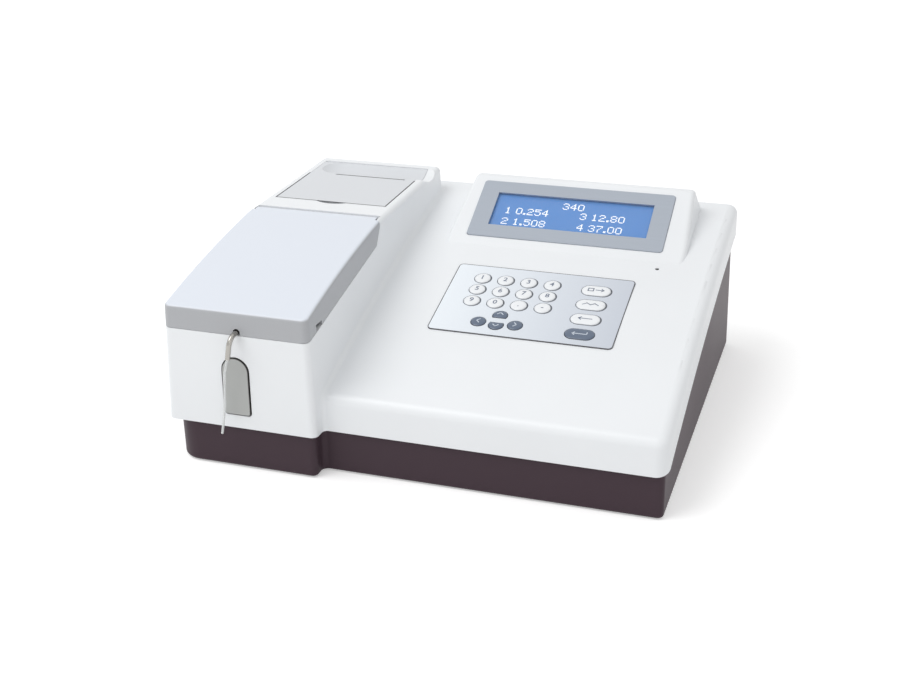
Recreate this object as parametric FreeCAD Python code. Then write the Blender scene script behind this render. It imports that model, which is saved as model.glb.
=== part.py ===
import FreeCAD, Part
import math
import os
from FreeCAD import Placement, Rotation, Vector

# Benchtop chemistry analyzer, in millimetres.
# While modelling, x runs from the case's left face to the right, y from the left block's front face
# to the rear, and z up from the table. At the end the whole part moves so that its origin is the
# centre of its bounding box at table height.

# Case
case_width = 370
case_depth = 318
wall = 3
overrun = 5
hair = 0.001
near = 0.05
step_depth = 14
block_width = 119
block_rear_step = 15
block_depth = case_depth - block_rear_step
block_height = 150
band_height = 26.4
panel_front_height = 61.2
panel_rear_drop = 18.5
panel_rear_height = block_height - panel_rear_drop
panel_crown = 7.6
draft_share = 0.034
cover_corner_radius = 9.5
block_corner_radius = 5
panel_edge_radius = 8
panel_rear_radius = 2.8
block_edge_radius = 4.5
cove_radius = 4

# Base tray
foot_reach = 1
base_overhang = 2.6
base_rear_set_in = 6
base_top_depth = case_depth - base_rear_set_in
rear_lean_run = 15
base_bottom_depth = base_top_depth + rear_lean_run
base_left_radius = 18
base_corner_radius = 4.5
base_edge_radius = 2.4
tongue_height = 3
tongue_gap = 0.3
left_tongue_length = 96
left_tongue_end = step_depth + left_tongue_length

# Sample bay and lid
ear_top_depth = 150
rim_front_drop = 43
rim_front_height = block_height - rim_front_drop
rim_rear_step = 10.5
rim_middle_share = 0.552
rim_middle_depth = (ear_top_depth - rim_rear_step) * rim_middle_share
rim_middle_drop = 29
rim_middle_height = block_height - rim_middle_drop
rim_rear_depth = ear_top_depth - rim_rear_step
rim_rear_drop = 18
rim_rear_height = block_height - rim_rear_drop
ear_lean = 2
ear_knee_depth = ear_top_depth - ear_lean
ear_knee_drop = 6.5
ear_knee_height = block_height - ear_knee_drop
ear_chamfer = 1.8
lid_gap = 0.4
lid_wall = 2.5
lid_front_drop = 26
lid_front_height = block_height - lid_front_drop
lid_middle_share = 0.52
lid_middle_depth = ear_top_depth * lid_middle_share
lid_middle_drop = 9.8
lid_middle_height = block_height - lid_middle_drop
lid_edge_radius = 2.6
lid_hinge_step = 4
lid_hinge_depth = ear_top_depth + lid_hinge_step
lid_hinge_radius = 4.5
lid_stub_radius = 2
lid_stub_length = 2.2
running_gap = 0.05
tongue_inset = 8
hinge_wall_gap = 0.5
divider_drop = 50
divider_foot_height = block_height - divider_drop
bay_drop = 59.5
deck_height = block_height - bay_drop
deck_thickness = 2.5
tray_wall = 2
tray_gap = 0.3
tray_drop = 3.5
tray_rear_step = 2
tray_rear_depth = ear_top_depth + tray_rear_step
grip_notch_depth = 18
grip_notch_length = 10
grip_notch_height = 5.5

# Display housing
housing_left_margin = 33
housing_left = block_width + housing_left_margin
housing_right_margin = 32
housing_right = case_width - housing_right_margin
housing_lean_share = 0.16
housing_rear_margin = 9
housing_rear = case_depth - housing_rear_margin
housing_ridge_step = 19
housing_ridge_depth = housing_rear - housing_ridge_step
housing_length = 104
housing_front = housing_rear - housing_length
housing_rear_drop = 24
housing_rear_height = block_height - housing_rear_drop
housing_edge_radius = 4
display_tilt = 26.7
bezel_shift = 1.5
bezel_centre_x = (housing_left + housing_right) / 2 - bezel_shift
bezel_rear_step = 60.7
bezel_centre_depth = housing_rear - bezel_rear_step
bezel_centre_drop = 16.5
bezel_centre_height = block_height - bezel_centre_drop
bezel_side_margin = 12
bezel_width = housing_right - housing_left - bezel_side_margin * 2
bezel_length = 64
bezel_thickness = 2.6
bezel_proud = 1
bezel_corner_radius = 3
bezel_side_rail = 15.3
window_width = bezel_width - bezel_side_rail * 2
bezel_end_rail = 13.3
window_length = bezel_length - bezel_end_rail * 2
window_thickness = 1.2
window_lap = 3
module_side_lap = 6.3
module_width = window_width + module_side_lap * 2
module_end_lap = 7.3
module_length = window_length + module_end_lap * 2
module_thickness = 9
module_step = 2
small_gap = 0.2

# Keypad
keypad_width = 140.5
keypad_left_share = 0.47
keypad_left = block_width + keypad_left_share * (case_width - block_width - keypad_width)
keypad_right = keypad_left + keypad_width
keypad_front = 97.5
keypad_length = 83
keypad_rear = keypad_front + keypad_length
keypad_proud = 0.8
keypad_thickness = 2
keypad_corner_radius = 3
keypad_ledge = 4
key_radius = 6.3
key_proud = 0.9
key_edge = 0.4
key_gap = 0.35
key_flange = 0.9
key_travel = 1
key_length = 4.2
key_columns = 4
key_rows = 3
key_pitch_x = 18.7
key_pitch_y = 15
key_first_x = -47.3
key_first_y = 26.3
arrow_radius = 5.8
arrow_flat = 3
arrow_centre_x = -20.2
arrow_centre_y = -24.5
arrow_rise = 6
arrow_side_x = 14.3
arrow_side_drop = 4
wide_key_length = 22.6
wide_key_width = 12.6
wide_key_x = 43.8
wide_key_first_y = 25
wide_key_pitch = 18.4
wide_key_count = 4
board_thickness = 1.6
mat_thickness = 1.5
standoff_radius = 2.5
standoff_inset = 6
led_radius = 1.5
led_length = 9
led_margin = 13.6
led_x = housing_right - led_margin
led_step = 3.5
led_depth = housing_front - led_step

# Paddle, sleeve and capillary
paddle_centre_x = 58
paddle_width = 20.4
paddle_foot = 11
paddle_height = 44
paddle_thickness = 3
paddle_proud = 1.2
paddle_gap = 0.9
paddle_corner_radius = 2
paddle_pivot_height = 45
paddle_pivot_depth = 6.5
paddle_pin_radius = 1.5
paddle_rib_width = 14
paddle_rib_height = 8
boss_length = 3
boss_size = 8
shelf_thickness = 2
shelf_depth = 13
switch_width = 14
switch_height = 10
switch_depth = 6
switch_button = 1.4
switch_button_reach = 1.6
paddle_swing = 4
sleeve_radius = 1.9
sleeve_x = 61
sleeve_rise = 3
sleeve_height = rim_front_height + sleeve_rise
sleeve_front = 8.1
sleeve_bend = 7
sleeve_end_x = 58
sleeve_drop = 16.5
sleeve_end_height = sleeve_height - sleeve_drop
notch_radius = 2.7
capillary_radius = 0.9

# Printer
door_side_margin = 12
door_left = door_side_margin
door_right = block_width - door_side_margin
door_front_step = 28
door_front = lid_hinge_depth + door_front_step
door_rear_step = 16
door_rear = block_depth - door_rear_step
door_thickness = 2.2
door_gap = 0.4
door_bar_radius = 3.4
door_stub_radius = 1.5
door_stub_length = 2
well_wall = 2.5
well_drop = 49.5
well_floor_height = block_height - well_drop
trough_step = 17
trough_centre_depth = door_rear - trough_step
trough_radius = 25.6
trough_sag = 5
trough_left = 16
tear_slot_step = 35
tear_slot_depth = door_rear - tear_slot_step
tear_slot_width = 1.4
tear_slot_left = 36
tear_slot_right = 97.5
tear_dot_radius = 1.1
finger_chord = 28
finger_sag = 5
finger_x = 60.8
finger_cut = 6
cradle_left = 35.5
cradle_right = 98
cradle_plate = 1.6
cradle_gap = 4
cradle_front = door_front + cradle_gap
cradle_rear_step = 25
cradle_rear = door_rear - cradle_rear_step
cradle_side_height = 22
cradle_high_step = 55
cradle_high_depth = door_rear - cradle_high_step
cradle_drop = 9
cradle_top_height = block_height - cradle_drop
platen_step = 7
platen_depth = tear_slot_depth - platen_step
platen_drop = 12
platen_height = block_height - platen_drop
platen_radius = 5.5
platen_shaft_radius = 2
head_gap = 0.5
head_thickness = 5
head_height = 12
paper_roll_radius = 20
paper_core_radius = 6
roll_step = 24
paper_depth = cradle_front + roll_step
paper_width = 57.5

# Photometer, under the deck of the bay
bench_left = 24
bench_right = 96
bench_front = 66
bench_rear = 198
bench_thickness = 6
beam_x = 60
beam_drop = 24.5
beam_height = deck_height - beam_drop
beam_radius = 4
tower_width = 40
tower_front = 76
tower_rear = 134
neck_width = 34
neck_front = 88
neck_rear = 120
neck_rise = 7.5
neck_height = deck_height + neck_rise
cell_size = 12.5
cell_gap = 0.2
cell_depth = 104
cell_drop = 10
cell_bottom = beam_height - cell_drop
cap_width = 16
cap_length = 18
cap_height = 9
lamp_tower_front = 174
lamp_tower_rise = 18
lamp_tower_height = beam_height + lamp_tower_rise
lamp_radius = 8.5
lamp_flange_radius = 10.5
lamp_flange = 3
lamp_seat_depth = 179
bulb_radius = 5
bulb_length = 4
wheel_radius = 32
wheel_thickness = 6
wheel_front = 138
filter_circle = 24
filter_radius = 6
filter_thickness = 4
filter_count = 8
wheel_hub_radius = 6
motor_size = 30
motor_length = 22
wheel_shaft_radius = 2
wheel_shaft_length = 12
detector_width = 36
detector_height = 30
can_radius = 4
can_length = 5

# Peristaltic pump
pump_x = 34
pump_depth = 42
pump_tube_circle = 18
tube_radius = 2
pump_head_clearance = 0.3
pump_head_wall = 3
pump_head_height = 13.5
pump_head_floor = 1.5
pump_head_reach = 18
rotor_radius = 15
rotor_disc = 1.8
rotor_hub_radius = 5.5
rotor_lift = 0.6
rotor_height = 11.8
rotor_knob_radius = 5
rotor_knob_height = 4
rotor_shaft_radius = 2.5
rotor_shaft_length = 10
roller_circle = 11
roller_radius = 4.5
roller_pin_radius = 1.2
roller_end_gap = 0.3
roller_count = 3
pump_motor_radius = 17
pump_motor_length = 36
tube_out_rise = 9.5
tube_out_height = neck_height + tube_out_rise
tube_run_rise = 8
tube_run_height = deck_height + tube_run_rise
tube_left_bend = 8
tube_small_bend = 7
tube_drop_depth = 68
tube_floor_height = 14

# Electronics and rear panel
board_left_margin = 21
board_left = block_width + board_left_margin
board_right_margin = 25
board_right = case_width - board_right_margin
board_front = 45
board_rear = 165
board_height = 14
supply_width = 95
supply_left = case_width - board_right_margin - supply_width
supply_right = case_width - board_right_margin
supply_rear_margin = 34
supply_length = 84
supply_rear = case_depth - supply_rear_margin
supply_front = supply_rear - supply_length
supply_height = 42
supply_sheet = 1.5
supply_slot_count = 7
supply_slot_width = 3
supply_slot_length = 50
panel_plate_side_margin = 16
panel_plate_width = 143
panel_plate_right = case_width - panel_plate_side_margin
panel_plate_left = panel_plate_right - panel_plate_width
panel_plate_bottom = 10
panel_plate_top = 84
panel_plate_thickness = 1.5
panel_plate_margin = 5
inlet_step = 28
inlet_x = panel_plate_right - inlet_step
inlet_foot = 15
inlet_width = 31
inlet_height = 62
inlet_flange = 2
inlet_body_inset = 2
inlet_body_depth = 24
socket_width = 24
socket_height = 16.5
socket_depth = 17
socket_chamfer = 4
socket_foot = 9
socket_pin_width = 2
socket_pin_height = 4
socket_pin_length = 14
socket_pin_pitch = 7
socket_pin_drop = 4
rocker_width = 21
rocker_height = 15
rocker_depth = 8
rocker_foot = 39
rocker_gap = 0.4
rocker_pin_radius = 1.2
rocker_pin_length = 1.5
rocker_tip = 6
serial_step = 29
serial_x = panel_plate_left + serial_step
serial_foot = 40
serial_width = 31
serial_height = 12.5
serial_flange = 1
serial_shell_width = 17
serial_shell_height = 8.4
serial_shell_reach = 5
serial_shell_wall = 0.8
serial_shell_lean = 1.2
serial_body_depth = 9
vent_step = 51
vent_left = panel_plate_left + vent_step
vent_count = 9
vent_pitch = 5
vent_width = 2.5
vent_height = 30
vent_foot = 32

# Feet and screws
foot_radius = 8
foot_height = 2.6
foot_gap = 0.2
foot_inset = 26
screw_radius = 1.5
screw_head_radius = 3
screw_head_height = 2
screw_sink = 0.5
screw_length = 28
post_radius = 4.5
post_foot_height = 24
screw_margin = 17
screw_step = 18
screw_left_rear_margin = 24
screw_block_step = 25
screw_middle_front_step = 121
screw_middle_rear_step = 39
screw_middle_rear_margin = 20
screw_right_rear_margin = 15
screw_right_rear_step = 22
screw_places = {
    "left_front": (screw_margin, screw_margin),
    "left_rear": (screw_left_rear_margin, block_depth - screw_block_step),
    "middle_front": (block_width + screw_middle_front_step, step_depth + screw_step),
    "middle_rear": (block_width + screw_middle_rear_step, case_depth - screw_middle_rear_margin),
    "right_front": (case_width - screw_margin, step_depth + screw_step),
    "right_rear": (case_width - screw_right_rear_margin, case_depth - screw_right_rear_step),
}

base_bottom = foot_reach
floor_top = base_bottom + wall
seam_front_height = panel_front_height - band_height
lean_at_top = draft_share * (block_height - seam_front_height)


def outline_face(path, place):
    """Closed face round a path; a step is a point, or a pair (through, end) for an arc."""
    edges = []
    here = path[0]
    for step in path[1:] + [path[0]]:
        if isinstance(step[0], tuple):
            through, there = step
            edges.append(Part.Arc(place(here), place(through), place(there)).toShape())
        else:
            there = step
            if place(here).distanceToPoint(place(there)) > hair:
                edges.append(Part.LineSegment(place(here), place(there)).toShape())
        here = there
    return Part.Face(Part.Wire(edges))


def side_prism(path, x0, x1):
    """Outline of (y, z) points drawn out along x."""
    face = outline_face(path, lambda p: Vector(x0, p[0], p[1]))
    return face.extrude(Vector(x1 - x0, 0, 0))


def front_prism(path, y0, y1):
    """Outline of (x, z) points drawn out along y."""
    face = outline_face(path, lambda p: Vector(p[0], y0, p[1]))
    return face.extrude(Vector(0, y1 - y0, 0))


def plan_prism(path, z0, z1):
    """Outline of (x, y) points drawn out along z."""
    face = outline_face(path, lambda p: Vector(p[0], p[1], z0))
    return face.extrude(Vector(0, 0, z1 - z0))


def rounded(corners, radii):
    """Path round the corners, each replaced by a tangent arc of its own radius."""
    path = []
    for index, (corner_xy, radius) in enumerate(zip(corners, radii)):
        if radius == 0:
            path.append(corner_xy)
            continue
        corner = Vector(*corner_xy, 0)
        to_last = (Vector(*corners[index - 1], 0) - corner).normalize()
        to_next = (Vector(*corners[(index + 1) % len(corners)], 0) - corner).normalize()
        half_turn = to_last.getAngle(to_next) / 2
        start = corner + to_last * (radius / math.tan(half_turn))
        end = corner + to_next * (radius / math.tan(half_turn))
        bisector = (to_last + to_next).normalize()
        through = corner + bisector * (radius / math.sin(half_turn) - radius)
        path.append((start.x, start.y))
        path.append(((through.x, through.y), (end.x, end.y)))
    return path


def rectangle(x0, x1, y0, y1):
    return [(x0, y0), (x1, y0), (x1, y1), (x0, y1)]


def rounded_rectangle(x0, x1, y0, y1, radius):
    return rounded(rectangle(x0, x1, y0, y1), [radius] * 4)


def centred_rectangle(half_width, half_length):
    return rectangle(-half_width, half_width, -half_length, half_length)


def centred_rounded(half_width, half_length, radius):
    return rounded(centred_rectangle(half_width, half_length), [radius] * 4)


def box(x0, x1, y0, y1, z0, z1):
    return Part.makeBox(x1 - x0, y1 - y0, z1 - z0, Vector(x0, y0, z0))


def centred_box(half_width, half_length, z0, z1):
    return box(-half_width, half_width, -half_length, half_length, z0, z1)


def rod(radius, start, end):
    axis = end - start
    return Part.makeCylinder(radius, axis.Length, start, axis)


def upright_rod(radius, x, y, z0, z1):
    return rod(radius, Vector(x, y, z0), Vector(x, y, z1))


def deep_rod(radius, x, z, y0, y1):
    return rod(radius, Vector(x, y0, z), Vector(x, y1, z))


def cross_rod(radius, y, z, x0, x1):
    return rod(radius, Vector(x0, y, z), Vector(x1, y, z))


def joined(first, *others):
    return first.fuse(list(others)).removeSplitter()


def tapered(low, high, radii, z0, z1):
    """Upright body between two rectangles, each given as x0, x1, y0, y1, with rounded corner edges."""
    x0, x1, y0, y1 = low
    top_x0, top_x1, top_y0, top_y1 = high
    body = Part.makeWedge(x0, z0, -y1, -top_y1, top_x0, x1, z1, -y0, -top_y0, top_x1)
    body.rotate(Vector(0, 0, 0), Vector(1, 0, 0), 90)
    for (x, y), (top_x, top_y), radius in zip(rectangle(*low), rectangle(*high), radii):
        if radius > 0:
            middle = Vector(x + top_x, y + top_y, z0 + z1) / 2
            body = body.makeFillet(radius, [edge for edge in body.Edges if passes(edge, middle)])
    return body


def passes(edge, place):
    return edge.distToShape(Part.Vertex(place))[0] < hair


def bent_tube(points, bends, radius):
    """Round rod along straight runs joined by tangent arcs."""
    edges = []
    here = points[0]
    for before, corner, after, bend in zip(points, points[1:], points[2:], bends):
        to_last = (before - corner).normalize()
        to_next = (after - corner).normalize()
        half_turn = to_last.getAngle(to_next) / 2
        start = corner + to_last * (bend / math.tan(half_turn))
        end = corner + to_next * (bend / math.tan(half_turn))
        bisector = (to_last + to_next).normalize()
        through = corner + bisector * (bend / math.sin(half_turn) - bend)
        if here.distanceToPoint(start) > hair:
            edges.append(Part.LineSegment(here, start).toShape())
        edges.append(Part.Arc(start, through, end).toShape())
        here = end
    edges.append(Part.LineSegment(here, points[-1]).toShape())
    circle = Part.makeCircle(radius, points[0], points[1] - points[0])
    return Part.Wire(edges).makePipeShell([Part.Wire(circle)], True, False)


def edges_where(shape, test):
    """Edges whose both ends and middle pass the test."""
    chosen = []
    for edge in shape.Edges:
        span = edge.LastParameter - edge.FirstParameter
        middle = edge.valueAt(edge.FirstParameter + span / 2)
        places = [vertex.Point for vertex in edge.Vertexes] + [middle]
        if all(test(place) for place in places):
            chosen.append(edge)
    return chosen


def crowned_arc(y0, z0, y1, z1, crown):
    """Circle in a side plane through two points, bulging by the crown half way."""
    middle = Vector(0, (y0 + y1) / 2, (z0 + z1) / 2 + crown)
    return Part.Circle(Vector(0, y0, z0), middle, Vector(0, y1, z1))


def height_on(circle, y, drop=0):
    """Height at depth y of the circle's upper side, moved inwards by the drop."""
    radius = circle.Radius - drop
    return circle.Center.z + math.sqrt(radius ** 2 - (y - circle.Center.y) ** 2)


def arc_step(circle, y0, y1, drop=0, rise=0):
    """Outline step along a circle's upper side from y0 to y1."""
    middle = (y0 + y1) / 2
    through = (middle, height_on(circle, middle, drop) + rise)
    return through, (y1, height_on(circle, y1, drop) + rise)


panel_arc = crowned_arc(step_depth, panel_front_height, case_depth, panel_rear_height, panel_crown)
rim_arc = Part.Circle(
    Vector(0, 0, rim_front_height),
    Vector(0, rim_middle_depth, rim_middle_height),
    Vector(0, rim_rear_depth, rim_rear_height),
)
lid_arc = Part.Circle(
    Vector(0, 0, lid_front_height),
    Vector(0, lid_middle_depth, lid_middle_height),
    Vector(0, lid_hinge_depth, block_height),
)
lid_hinge_height = block_height - lid_hinge_radius


def seam_height(y):
    return height_on(panel_arc, y) - band_height


# Places that lean or slope: each turns a shape drawn flat at the origin into its place.
keypad_x = (keypad_left + keypad_right) / 2
keypad_depth = (keypad_front + keypad_rear) / 2
keypad_front_z = height_on(panel_arc, keypad_front) + keypad_proud
keypad_rear_z = height_on(panel_arc, keypad_rear) + keypad_proud
keypad_slope = math.atan2(keypad_rear_z - keypad_front_z, keypad_rear - keypad_front)
keypad_z = (keypad_front_z + keypad_rear_z) / 2
keypad_half_width = (keypad_right - keypad_left) / 2
keypad_half_length = (keypad_rear - keypad_front) / 2 / math.cos(keypad_slope)
rear_lean = math.atan2(base_bottom_depth - base_top_depth, seam_height(base_top_depth) - base_bottom)
front_lean = math.atan(draft_share)


def placed(shape, place, degrees):
    moved = shape.copy()
    moved.Placement = Placement(place, Rotation(Vector(1, 0, 0), degrees)).multiply(moved.Placement)
    return moved


def on_keypad(shape):
    """Local z is out of the keypad plate's face, local y up its slope."""
    return placed(shape, Vector(keypad_x, keypad_depth, keypad_z), math.degrees(keypad_slope))


def on_display(shape):
    """Local z is out of the bezel's face, local y up its slope."""
    centre = Vector(bezel_centre_x, bezel_centre_depth, bezel_centre_height)
    return placed(shape, centre, display_tilt)


def on_front(shape):
    """Local y goes into the block's front wall from its outer face, local z up that face."""
    return placed(shape, Vector(0, 0, seam_front_height), -math.degrees(front_lean))


def on_rear(shape):
    """Local y is out of the base's rear wall, local z up that wall from its foot."""
    return placed(shape, Vector(0, base_bottom_depth, base_bottom), math.degrees(rear_lean))


# Base tray: wedge-shaped dark tray; its rim carries a tongue inside the cover's wall.
def base_plan(inset, convex_radius, concave_radius):
    left = base_overhang + inset
    right = case_width - base_overhang - inset
    step_x = block_width - base_overhang - inset
    corners = [
        (left, base_overhang + inset),
        (step_x, base_overhang + inset),
        (step_x, step_depth + base_overhang + inset),
        (right, step_depth + base_overhang + inset),
        (right, base_bottom_depth + overrun),
        (left, base_bottom_depth + overrun),
    ]
    radii = [base_left_radius - inset, convex_radius, concave_radius, convex_radius, 0, 0]
    return rounded(corners, radii)


def base_side(bottom, inset, rise):
    """Side outline: level floor, rear wall leaning in upwards, top along the seam."""
    slant = math.tan(rear_lean)
    shift = inset / math.cos(rear_lean)
    top_y = base_top_depth - shift
    bottom_y = base_bottom_depth - shift - (bottom - base_bottom) * slant
    path = [(-overrun, bottom), (bottom_y, bottom)]
    path.append((top_y, seam_height(top_y) + rise))
    path.append(arc_step(panel_arc, top_y, step_depth, rise=rise - band_height))
    path.append((-overrun, seam_front_height + rise))
    return side_prism(path, -overrun, case_width + overrun)


def base_solid(bottom, inset, rise, convex_radius, concave_radius):
    plan = plan_prism(base_plan(inset, convex_radius, concave_radius), bottom, block_height)
    return base_side(bottom, inset, rise).common(plan)


def base_tongue():
    """Lip that rises inside the cover; it ends where the cover's leaning left wall comes close."""
    inset = wall - base_overhang + tongue_gap
    lip = base_solid(floor_top, inset, tongue_height, cover_corner_radius - wall, tongue_gap)
    clear = wall + tongue_gap
    leaning_wall = [
        (-overrun, floor_top),
        (clear, floor_top),
        (clear, seam_front_height),
        (clear + lean_at_top, block_height),
        (-overrun, block_height),
    ]
    lip = lip.cut(front_prism(leaning_wall, -overrun, case_depth + overrun))
    return lip.cut(box(0, case_width / 2, left_tongue_end, case_depth, seam_front_height, block_height))


def level_span(edge):
    return abs(edge.Vertexes[0].X - edge.Vertexes[1].X)


def base_tray():
    outer = base_solid(base_bottom, 0, 0, base_corner_radius, base_corner_radius)
    rear_edges = edges_where(
        outer, lambda p: p.y > base_top_depth - overrun and p.z < seam_height(p.y) + hair
    )
    upright = [edge for edge in rear_edges if edge.Length > band_height and level_span(edge) < hair]
    outer = outer.makeFillet(base_corner_radius, upright)
    outer = outer.makeFillet(base_edge_radius, edges_where(outer, lambda p: abs(p.z - base_bottom) < hair))
    inner_radius = base_corner_radius / 2
    wide_radius = base_corner_radius + inner_radius
    inside = base_solid(floor_top, wall, overrun + tongue_height, inner_radius, wide_radius)
    tray = outer.fuse(base_tongue()).cut(inside)
    for x, y in screw_places.values():
        tray = tray.fuse(upright_rod(post_radius, x, y, base_bottom + hair, post_foot_height))
    for x in (board_left + standoff_inset, board_right - standoff_inset):
        for y in (board_front + standoff_inset, board_rear - standoff_inset):
            tray = tray.fuse(upright_rod(standoff_radius, x, y, base_bottom + hair, board_height))
    for x, y in screw_places.values():
        sink_top = base_bottom + screw_sink + screw_head_height
        tray = tray.cut(upright_rod(screw_head_radius + small_gap, x, y, 0, sink_top))
        tray = tray.cut(upright_rod(screw_radius + small_gap, x, y, 0, post_foot_height + overrun))
    for x, y in foot_places():
        recess_top = foot_height
        tray = tray.cut(upright_rod(foot_radius + foot_gap, x, y, 0, recess_top))
    hole = cross_rod(tube_radius + small_gap, tube_drop_depth, tube_floor_height, 0, wall * 3)
    tray = tray.cut(hole)
    plate = rectangle(
        panel_plate_left - small_gap,
        panel_plate_right + small_gap,
        panel_plate_bottom - small_gap,
        panel_plate_top + small_gap,
    )
    tray = tray.cut(on_rear(front_prism(plate, -panel_plate_thickness, overrun)))
    margin = panel_plate_margin
    way = rectangle(
        panel_plate_left + margin,
        panel_plate_right - margin,
        panel_plate_bottom + margin,
        panel_plate_top - margin,
    )
    tray = tray.cut(on_rear(front_prism(way, -wall * 2, overrun)))
    return tray.removeSplitter()


def foot_places():
    left = foot_inset
    right = case_width - foot_inset
    front = foot_inset + step_depth
    rear = base_bottom_depth - foot_inset
    return [(left, front), (right, front), (left, rear), (right, rear)]


def rubber_feet():
    return [upright_rod(foot_radius, x, y, 0, foot_height) for x, y in foot_places()]


def housing_screws():
    screws = []
    for x, y in screw_places.values():
        head_z = base_bottom + screw_sink
        head = upright_rod(screw_head_radius, x, y, head_z, head_z + screw_head_height)
        shank = upright_rod(screw_radius, x, y, head_z, head_z + screw_length)
        screws.append(joined(head, shank))
    return screws


# Top cover: white moulding of a sloping panel, a raised left block and a display housing.
def panel_body(inset, below):
    """Wedge under the sloping panel, shrunk by the inset and running below the seam."""
    y0 = step_depth - overrun
    y1 = case_depth + overrun
    path = [(y0, seam_height(y0) - below)]
    path.append(arc_step(panel_arc, y0, y1, rise=-band_height - below))
    path.append((y1, height_on(panel_arc, y1, inset)))
    path.append(arc_step(panel_arc, y1, y0, drop=inset))
    prism = side_prism(path, -overrun, case_width + overrun)
    low = (inset, case_width - inset, step_depth + inset, case_depth - inset)
    high = (lean_at_top + inset, case_width - inset, step_depth + lean_at_top + inset, case_depth - inset)
    front_radius = cover_corner_radius - inset
    radii = [front_radius, front_radius, 0, 0]
    z0 = seam_front_height - below
    return prism.common(tapered(low, high, radii, z0, block_height + overrun))


def block_plan(inset, z0, z1):
    """Leaning walls of the left block between two heights."""
    def limits(z):
        lean = draft_share * (z - seam_front_height) + inset
        return (lean, block_width - lean, lean, block_depth - lean)
    radii = [block_corner_radius - min(inset, block_corner_radius / 2)] * 4
    return tapered(limits(z0), limits(z1), radii, z0, z1)


def block_body():
    """Left block with the rim of its bay and the ears that hold the lid's hinge."""
    y1 = block_depth + overrun
    path = [(-overrun, seam_front_height), (step_depth, seam_front_height)]
    path.append(arc_step(panel_arc, step_depth, y1, rise=-band_height))
    path.append((y1, block_height))
    path.append((ear_top_depth + ear_chamfer, block_height))
    path.append((ear_top_depth, block_height - ear_chamfer))
    path.append((ear_knee_depth, ear_knee_height))
    path.append((rim_rear_depth, rim_rear_height))
    path.append(arc_step(rim_arc, rim_rear_depth, -overrun))
    prism = side_prism(path, -overrun, block_width + overrun)
    return prism.common(block_plan(0, 0, block_height + overrun))


def hinge_wall_depth():
    return lid_hinge_depth + lid_hinge_radius + hinge_wall_gap


def block_hollow():
    """Inside of the block, open at the top over the bay, with a wall left behind the hinge."""
    back = hinge_wall_depth()
    y1 = block_depth + overrun
    roof = block_height - wall
    top = block_height + overrun
    path = [
        (-overrun, -overrun),
        (y1, -overrun),
        (y1, roof),
        (back + wall, roof),
        (back + wall, divider_foot_height),
        (back, divider_foot_height),
        (back, top),
        (-overrun, top),
    ]
    prism = side_prism(path, -overrun, block_width + overrun)
    return prism.common(block_plan(wall, 0, top))


def housing_body(inset, foot_z):
    """Wedge that holds the display, shrunk by the inset."""
    tilt = math.radians(display_tilt)
    face_y = bezel_centre_depth + (bezel_proud + inset) * math.sin(tilt)
    face_z = bezel_centre_height - (bezel_proud + inset) * math.cos(tilt)
    ridge_z = block_height - inset
    ridge_y = face_y + (ridge_z - face_z) / math.tan(tilt)
    front_y = housing_front + inset
    front_z = face_z - (face_y - front_y) * math.tan(tilt)
    rear_y = housing_rear - inset
    path = [
        (front_y, foot_z),
        (front_y, front_z),
        (ridge_y, ridge_z),
        (housing_ridge_depth - inset, ridge_z),
        (rear_y, housing_rear_height),
        (rear_y, foot_z),
    ]
    prism = side_prism(path, housing_left - overrun, housing_right + overrun)
    y0 = housing_front - overrun
    y1 = housing_rear + overrun
    z1 = block_height + overrun
    spread = inset - housing_lean_share * (block_height - foot_z)
    narrow = inset + housing_lean_share * overrun
    low = (housing_left + spread, housing_right - spread, y0, y1)
    high = (housing_left + narrow, housing_right - narrow, y0, y1)
    return prism.common(tapered(low, high, [0] * 4, foot_z, z1))


def cover_outside():
    panel = panel_body(0, 0)

    def on_panel_top(p):
        return abs(p.z - height_on(panel_arc, p.y)) < near and p.y < case_depth - near

    panel = panel.makeFillet(panel_edge_radius, edges_where(panel, on_panel_top))

    def on_rear_outline(p):
        return abs(p.y - case_depth) < near and p.z > seam_height(case_depth) - near

    rear_edges = edges_where(panel, on_rear_outline)
    seam_z = seam_height(case_depth)
    rear_edges = [edge for edge in rear_edges if max(v.Z for v in edge.Vertexes) > seam_z + near]
    panel = panel.makeFillet(panel_rear_radius, rear_edges)
    block = block_body()

    def on_block_top(p):
        return abs(p.z - block_height) < near and p.y > ear_top_depth + ear_chamfer + near

    block = block.makeFillet(block_edge_radius, edges_where(block, on_block_top))
    cover = panel.fuse(block).removeSplitter()

    def in_cove(p):
        lean = draft_share * (p.z - seam_front_height)
        at_side = abs(p.x - block_width + lean) < near and p.y > step_depth - near
        at_rear = abs(p.y - block_depth + lean) < near
        on_panel = abs(p.z - height_on(panel_arc, p.y)) < near
        at_corner = on_panel and block_width / 2 < p.x < block_width
        return (at_side or at_rear or at_corner) and p.z < height_on(panel_arc, p.y) + near

    cover = cover.makeFillet(cove_radius, edges_where(cover, in_cove))
    housing = housing_body(0, panel_front_height)

    def on_housing_top(p):
        return p.z > height_on(panel_arc, p.y) - panel_edge_radius and p.z > panel_front_height + overrun

    housing = housing.makeFillet(housing_edge_radius, edges_where(housing, on_housing_top))
    housing = housing.cut(panel_body(wall / 2, band_height * 2))
    return cover.fuse(housing).removeSplitter()


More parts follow.
